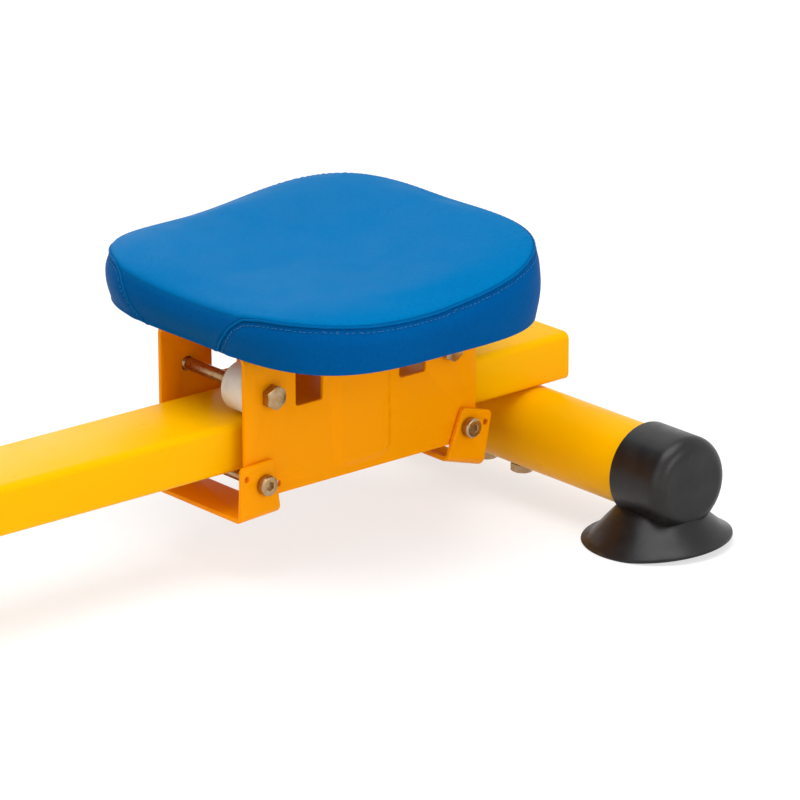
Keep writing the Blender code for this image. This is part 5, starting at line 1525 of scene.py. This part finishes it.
def make_arm(word, side):
    place = crank_frame()
    hub = sorted(side * (ARM_PLANE + k * HUB_HALF) for k in (-1, 1))
    boss = sorted((side * (ARM_PLANE - BOSS_LENGTH), side * ARM_PLANE))
    joined = [bar(HUB_RADIUS, *hub), bar(BOSS_RADIUS, *boss, centre=(0, 0, CRANK_RADIUS))]
    whole = solved(swept(arm_path(side), ARM_RADIUS), joined, "UNION")
    whole = solved(whole, [bar(0.0085, hub[0] - 0.002, hub[1] + 0.002)], "DIFFERENCE")
    weld = []
    for a, b in arc(0, 0, ARM_RADIUS + 0.0006, 0, 360, 48):
        weld.append((a, side * ARM_PLANE + b, math.sqrt(HUB_RADIUS**2 - a * a) + 0.0004))
    shape = merged(whole, bead(weld, 0.0016, side))
    shape.transform(place)
    dress(f"{word}_arm", shape, PAINT)
    centre = (ARM_X, 0, ARM_Z)
    rows = [(hub[0], 0.0061), (hub[0], 0.0080), (hub[0] + 0.0003, 0.0082)]
    rows += [(hub[1] - 0.0003, 0.0082), (hub[1], 0.0080), (hub[1], 0.0061)]
    dress(f"{word}_arm_bush", turned(rows, "Y", centre, SMALL_ROUND, loop=True), WHITE)
    seat = side * (ARM_PLANE + HUB_HALF + TOUCH)
    rows = socket_rows(seat + side * 0.0026, seat + side * 0.006, side, 0.008)
    rows += [(seat + side * up, radius) for up, radius in ((0.006, 0.0088), (0.0056, 0.0098), (0.0046, 0.0105))]
    rows += [(seat + side * 0.0003, 0.0105), (seat, 0.0102)]
    rows += [(seat, 0.006), (side * PIVOT_TIP, 0.006), (side * PIVOT_TIP, 0)]
    dress(f"{word}_arm_pivot_bolt", turned(rows, "Y", centre, HEX_ROUND), STEEL)
    make_grip(word, side, place)


def make_grip(word, side, place):
    start, end, rim = ARM_LENGTH - GRIP_LENGTH, ARM_LENGTH + TOUCH + GRIP_END, 0.004
    rows = [(ARM_LENGTH, 0), (ARM_LENGTH, ARM_RADIUS + 0.0001)]
    rows += [(start + rim, ARM_RADIUS + 0.0001), (start, ARM_RADIUS + 0.0008)]
    rows += [(start + rim - b, GRIP_RADIUS - rim + a) for a, b in arc(0, 0, rim, 90, 0, 8)]
    rows += [(start + rim + (end - start - rim - GRIP_END) * k / 40, GRIP_RADIUS) for k in range(1, 40)]
    rows += [(end - GRIP_END + b, GRIP_RADIUS - GRIP_END + a) for a, b in arc(0, 0, GRIP_END, 0, 90, 8)] + [(end, 0)]
    shape = turned(rows, "Z", (0, side * (ARM_PLANE + ARM_SPLAY), 0), SMALL_ROUND)
    shape.transform(place)
    dress(f"{word}_grip", shape, FOAM)


def make_crossmember():
    profile = sleeve(-CROSS_HALF, CROSS_HALF, CROSS_RADIUS, CROSS_BORE, 0.0008)
    tube = turned(profile, "Y", (ARM_X, 0, ARM_Z), SMALL_ROUND, loop=True)
    low, high = RAIL_TOP + TOUCH, RAIL_TOP + TOUCH + 0.006
    saddle = block(framed(ARM_X - 0.023, -0.027, ARM_X + 0.023, 0.027, 0.002), along_z, low, high)
    parts = [tube, saddle]
    run = math.sqrt(CROSS_RADIUS**2 - (high - ARM_Z) ** 2) + 0.0008
    for side in (-1, 1):
        path = [(ARM_X + side * run, -0.026 + 0.052 * k / 40, high + 0.0004) for k in range(41)]
        parts.append(bead(path, 0.0022, side))
    dress("arm_crossmember", merged(*parts), PAINT)


def cylinder_frame():
    run = Vector((CRANK_X - BASE_X, 0, CRANK_Z - BASE_Z))
    return Matrix.Translation((BASE_X, 0, BASE_Z)) @ Matrix.Rotation(math.atan2(run.x, run.z), 4, "Y"), run.length


def eye_shape(side, along, bore):
    rows = sleeve(-EYE_WIDTH / 2, EYE_WIDTH / 2, EYE_RADIUS, bore)
    return turned(rows, "Y", (0, side * CYLINDER_PLANE, along), SMALL_ROUND, loop=True)


def make_cylinder(word, side):
    place, length = cylinder_frame()
    axis = (0, side * CYLINDER_PLANE, 0)
    start, end, radius = BARREL_START, BARREL_END, BARREL_RADIUS
    rows = [(start, 0), (start, 0.0115)] + [(start + 0.0025 - b, 0.013 + a) for a, b in arc(0, 0, 0.0025, 90, 0, 6)]
    rows += [(end - 0.0140, radius), (end - 0.0132, radius - 0.0008), (end - 0.0112, radius - 0.0008)]
    rows += [(end - 0.0104, radius)] + [(end - 0.0025 + b, 0.013 + a) for a, b in arc(0, 0, 0.0025, 0, 90, 6)]
    rows += [(end, 0.0085), (end - 0.0008, 0.0078), (end - 0.0008, 0.0051), (end - 0.020, 0.0051), (end - 0.020, 0)]
    neck = turned([(0.0075, 0), (0.0075, 0.0066), (0.0142, 0.0066), (0.0142, 0)], "Z", axis, SMALL_ROUND)
    barrel = solved(turned(rows, "Z", axis), [neck, eye_shape(side, 0, 0.0041)], "UNION")
    rows = [(0.034, 0), (0.034, 0.005), (length - 0.0075, 0.005), (length - 0.0075, 0)]
    rod = solved(turned(rows, "Z", axis, SMALL_ROUND), [eye_shape(side, length, 0.0042)], "UNION")
    for name, shape, finish in (("cylinder", barrel, BARREL), ("rod", rod, CHROME)):
        shape.transform(place)
        dress(f"{word}_{name}", shape, finish)
    ear = EYE_WIDTH / 2 + EAR_PLAY + EAR_SHEET + TOUCH
    base = (BASE_X, side * (CYLINDER_PLANE - ear), BASE_Z)
    dress(f"{word}_cylinder_bolt", hex_bolt("Y", base, -side, ear * 2 + BOLT_TAIL, 0.008), STEEL)
    head = CYLINDER_PLANE - EYE_WIDTH / 2 - TOUCH
    reach = ARM_PLANE - ARM_RADIUS - 0.0095 - TOUCH - head
    dress(f"{word}_rod_bolt", hex_bolt("Y", (CRANK_X, side * head, CRANK_Z), -side, reach, 0.006), STEEL)


# Pedals

def make_pedal_bracket():
    half, bend, sheet = 0.024, 0.005, 0.004
    base = RAIL_TOP + TOUCH

    def leg(z):
        return on_leg(half, bend, z - base, sheet)

    top = arc(PEDAL_X, leg(PEDAL_Z), 0.014, 20, 160, 24)
    root = leg(base + bend + 0.001)
    line = [(PEDAL_X + 0.029, root)] + top + [(PEDAL_X - 0.029, root)]
    outline = line + [(a, -b) for a, b in line[::-1]]
    shape = plate([outline] + mirrored([circle(PEDAL_X, leg(PEDAL_Z), AXLE_RADIUS + 0.0003)]), sheet)
    fold(shape, half, base, bend, 1, sheet)
    parts = [shape]
    for side in (-1, 1):
        path = [(PEDAL_X + side * 0.0295, -0.018 + 0.036 * k / 30, base + 0.0012) for k in range(31)]
        parts.append(bead(path, 0.0020, side))
    dress("pedal_bracket", merged(*parts), PAINT)
    seat = PEDAL_OUTER + TOUCH
    reach = seat + NUT_HEIGHT + BOLT_TAIL
    rows = [(-reach, 0), (-reach, 0.0050)] + thread_rows(AXLE_RADIUS, AXLE_PITCH, 0.001 - reach, 0.012 - reach)
    rows += thread_rows(AXLE_RADIUS, AXLE_PITCH, reach - 0.012, reach - 0.001) + [(reach, 0.0050), (reach, 0)]
    dress("pedal_axle", turned(rows, "Y", (PEDAL_X, 0, PEDAL_Z), HEX_ROUND), STEEL)
    for word, side in SIDES.items():
        nut = hex_nut("Y", (PEDAL_X, side * seat, PEDAL_Z), side, 0.018, AXLE_RADIUS)
        dress(f"pedal_axle_nut_{word}", nut, STEEL)


def pedal_frame():
    """A pedal's own frame at rest: X to its toe, Z out of its tread, and the axle at its origin."""
    toe = Vector((-math.cos(PEDAL_LEAN), 0, math.sin(PEDAL_LEAN)))
    up = Vector((math.sin(PEDAL_LEAN), 0, math.cos(PEDAL_LEAN)))
    turn = Matrix((toe, up.cross(toe), up)).transposed().to_4x4()
    return Matrix.Translation((PEDAL_X, 0, PEDAL_Z)) @ turn


def make_pedal(word, side):
    place = pedal_frame()
    inner, outer = sorted((-side * PEDAL_INNER, -side * PEDAL_OUTER))
    coarse = framed(PEDAL_HEEL, inner, PEDAL_TOE, outer, PEDAL_CORNER, 16)
    full = coarse(0)
    counts = [max(1, round(math.dist(here, following) / 0.004)) for here, following in zip(full, full[1:] + full[:1])]

    def outline(inset):
        line = coarse(inset)
        dense = []
        for (a, b), (c, d), count in zip(line, line[1:] + line[:1], counts):
            dense += [(a + (c - a) * j / count, b + (d - b) * j / count) for j in range(count)]
        return dense

    def wall_height(x):
        rise = 1 - smooth_step(x, PEDAL_HEEL + 0.036, PEDAL_HEEL + 0.056)
        return PEDAL_TREAD + RIM_LOW + (RIM_HIGH - RIM_LOW) * rise

    low, high = PEDAL_FLOOR, PEDAL_TREAD
    rings = drawn(outline, along_z, ((0.0015, low), (0.0004, low + 0.0004), (0, low + 0.0015)))
    rim = ((0, 0.0016), (0.0005, 0.0005), (0.0016, 0), (0.0024, 0), (0.0035, 0.0005), (0.004, 0.0016))
    rings += [[(a, b, wall_height(a) - below) for a, b in outline(inset)] for inset, below in rim]
    rings += drawn(outline, along_z, ((0.004, high + 0.0015), (0.0045, high + 0.0004), (0.0056, high)))
    forms = []
    for number in range(1, RIDGES + 1):
        x = PEDAL_HEEL + 0.050 + RIDGE_PITCH * number
        line = framed(x, inner + 0.008, x + 0.006, outer - 0.008, 0.0016)
        forms.append(skin(drawn(line, along_z, ((0, low + 0.002), (0, high + 0.0009), (0.0006, high + 0.0015)))))
    heel, toe, seat, middle = PEDAL_HEEL + 0.004, PEDAL_TOE - PEDAL_CORNER, low + 0.0025, (inner + outer) / 2
    rib = [(heel, low), (0, -0.00525), (toe, low), (toe, seat), (heel, seat)]
    for y in (middle - RIB_OFFSET, middle + RIB_OFFSET):
        forms.append(skin([along_y(rib, y - RIB_HALF), along_y(rib, y + RIB_HALF)]))
    forms.append(bar(0.0105, inner, outer))
    web = [(-0.0085, 0), (0.0085, 0), (0.0085, seat), (-0.0085, seat)]
    forms.append(skin([along_y(web, inner + 0.0006), along_y(web, outer - 0.0006)]))
    whole = solved(skin(rings), forms, "UNION")
    whole = solved(whole, [bar(AXLE_RADIUS + 0.0001, inner - 0.002, outer + 0.002)], "DIFFERENCE")
    whole.transform(place)
    dress(f"{word}_pedal", whole, PLASTIC)
    make_pedal_strap(word, inner, outer, place)


def make_pedal_strap(word, inner, outer, place):
    """The instep strap: up one side of the pedal, over in an arc, and down the other side."""
    middle, half = (inner + outer) / 2, (outer - inner) / 2 + TOUCH
    start, shoulder = PEDAL_HEEL + 0.135, PEDAL_TREAD + RIM_LOW
    line = [(-half, PEDAL_FLOOR + 0.0005 + (shoulder - PEDAL_FLOOR) * k / 6) for k in range(6)]
    turns = [math.pi * k / 60 for k in range(61)]
    line += [(-half * math.cos(t), shoulder + INSTEP_RISE * math.sin(t)) for t in turns]
    line += [(half, shoulder - (shoulder - PEDAL_FLOOR) * k / 6) for k in range(1, 7)]
    points = [Vector((middle + a, b)) for a, b in line]
    lengths = [0.0]
    for here, following in zip(points, points[1:]):
        lengths.append(lengths[-1] + (following - here).length)
    rows = [start + INSTEP_WIDTH * j / 12 for j in range(13)]
    rings = []
    for here, heading in zip(points, headings(points)):
        out = here + Vector((-heading.y, heading.x)) * INSTEP_THICK
        rings.append([(x, *here) for x in rows] + [(x, *out) for x in rows[::-1]])
    shape = skin(rings)
    weave = shape.loops.layers.uv.new("weave")
    shape.verts.index_update()
    for face in shape.faces:
        for loop in face.loops:
            loop[weave].uv = (lengths[loop.vert.index // len(rings[0])], loop.vert.co.x - start)
    shape.transform(place)
    made = dress(f"{word}_pedal_strap", shape, WEBBING)


make_rail()
make_stabilisers()
make_feet()
make_carriage()
make_board()
make_cushion()
make_crossmember()
make_pedal_bracket()
for word, side in SIDES.items():
    make_arm(word, side)
    make_cylinder(word, side)
    make_pedal(word, side)
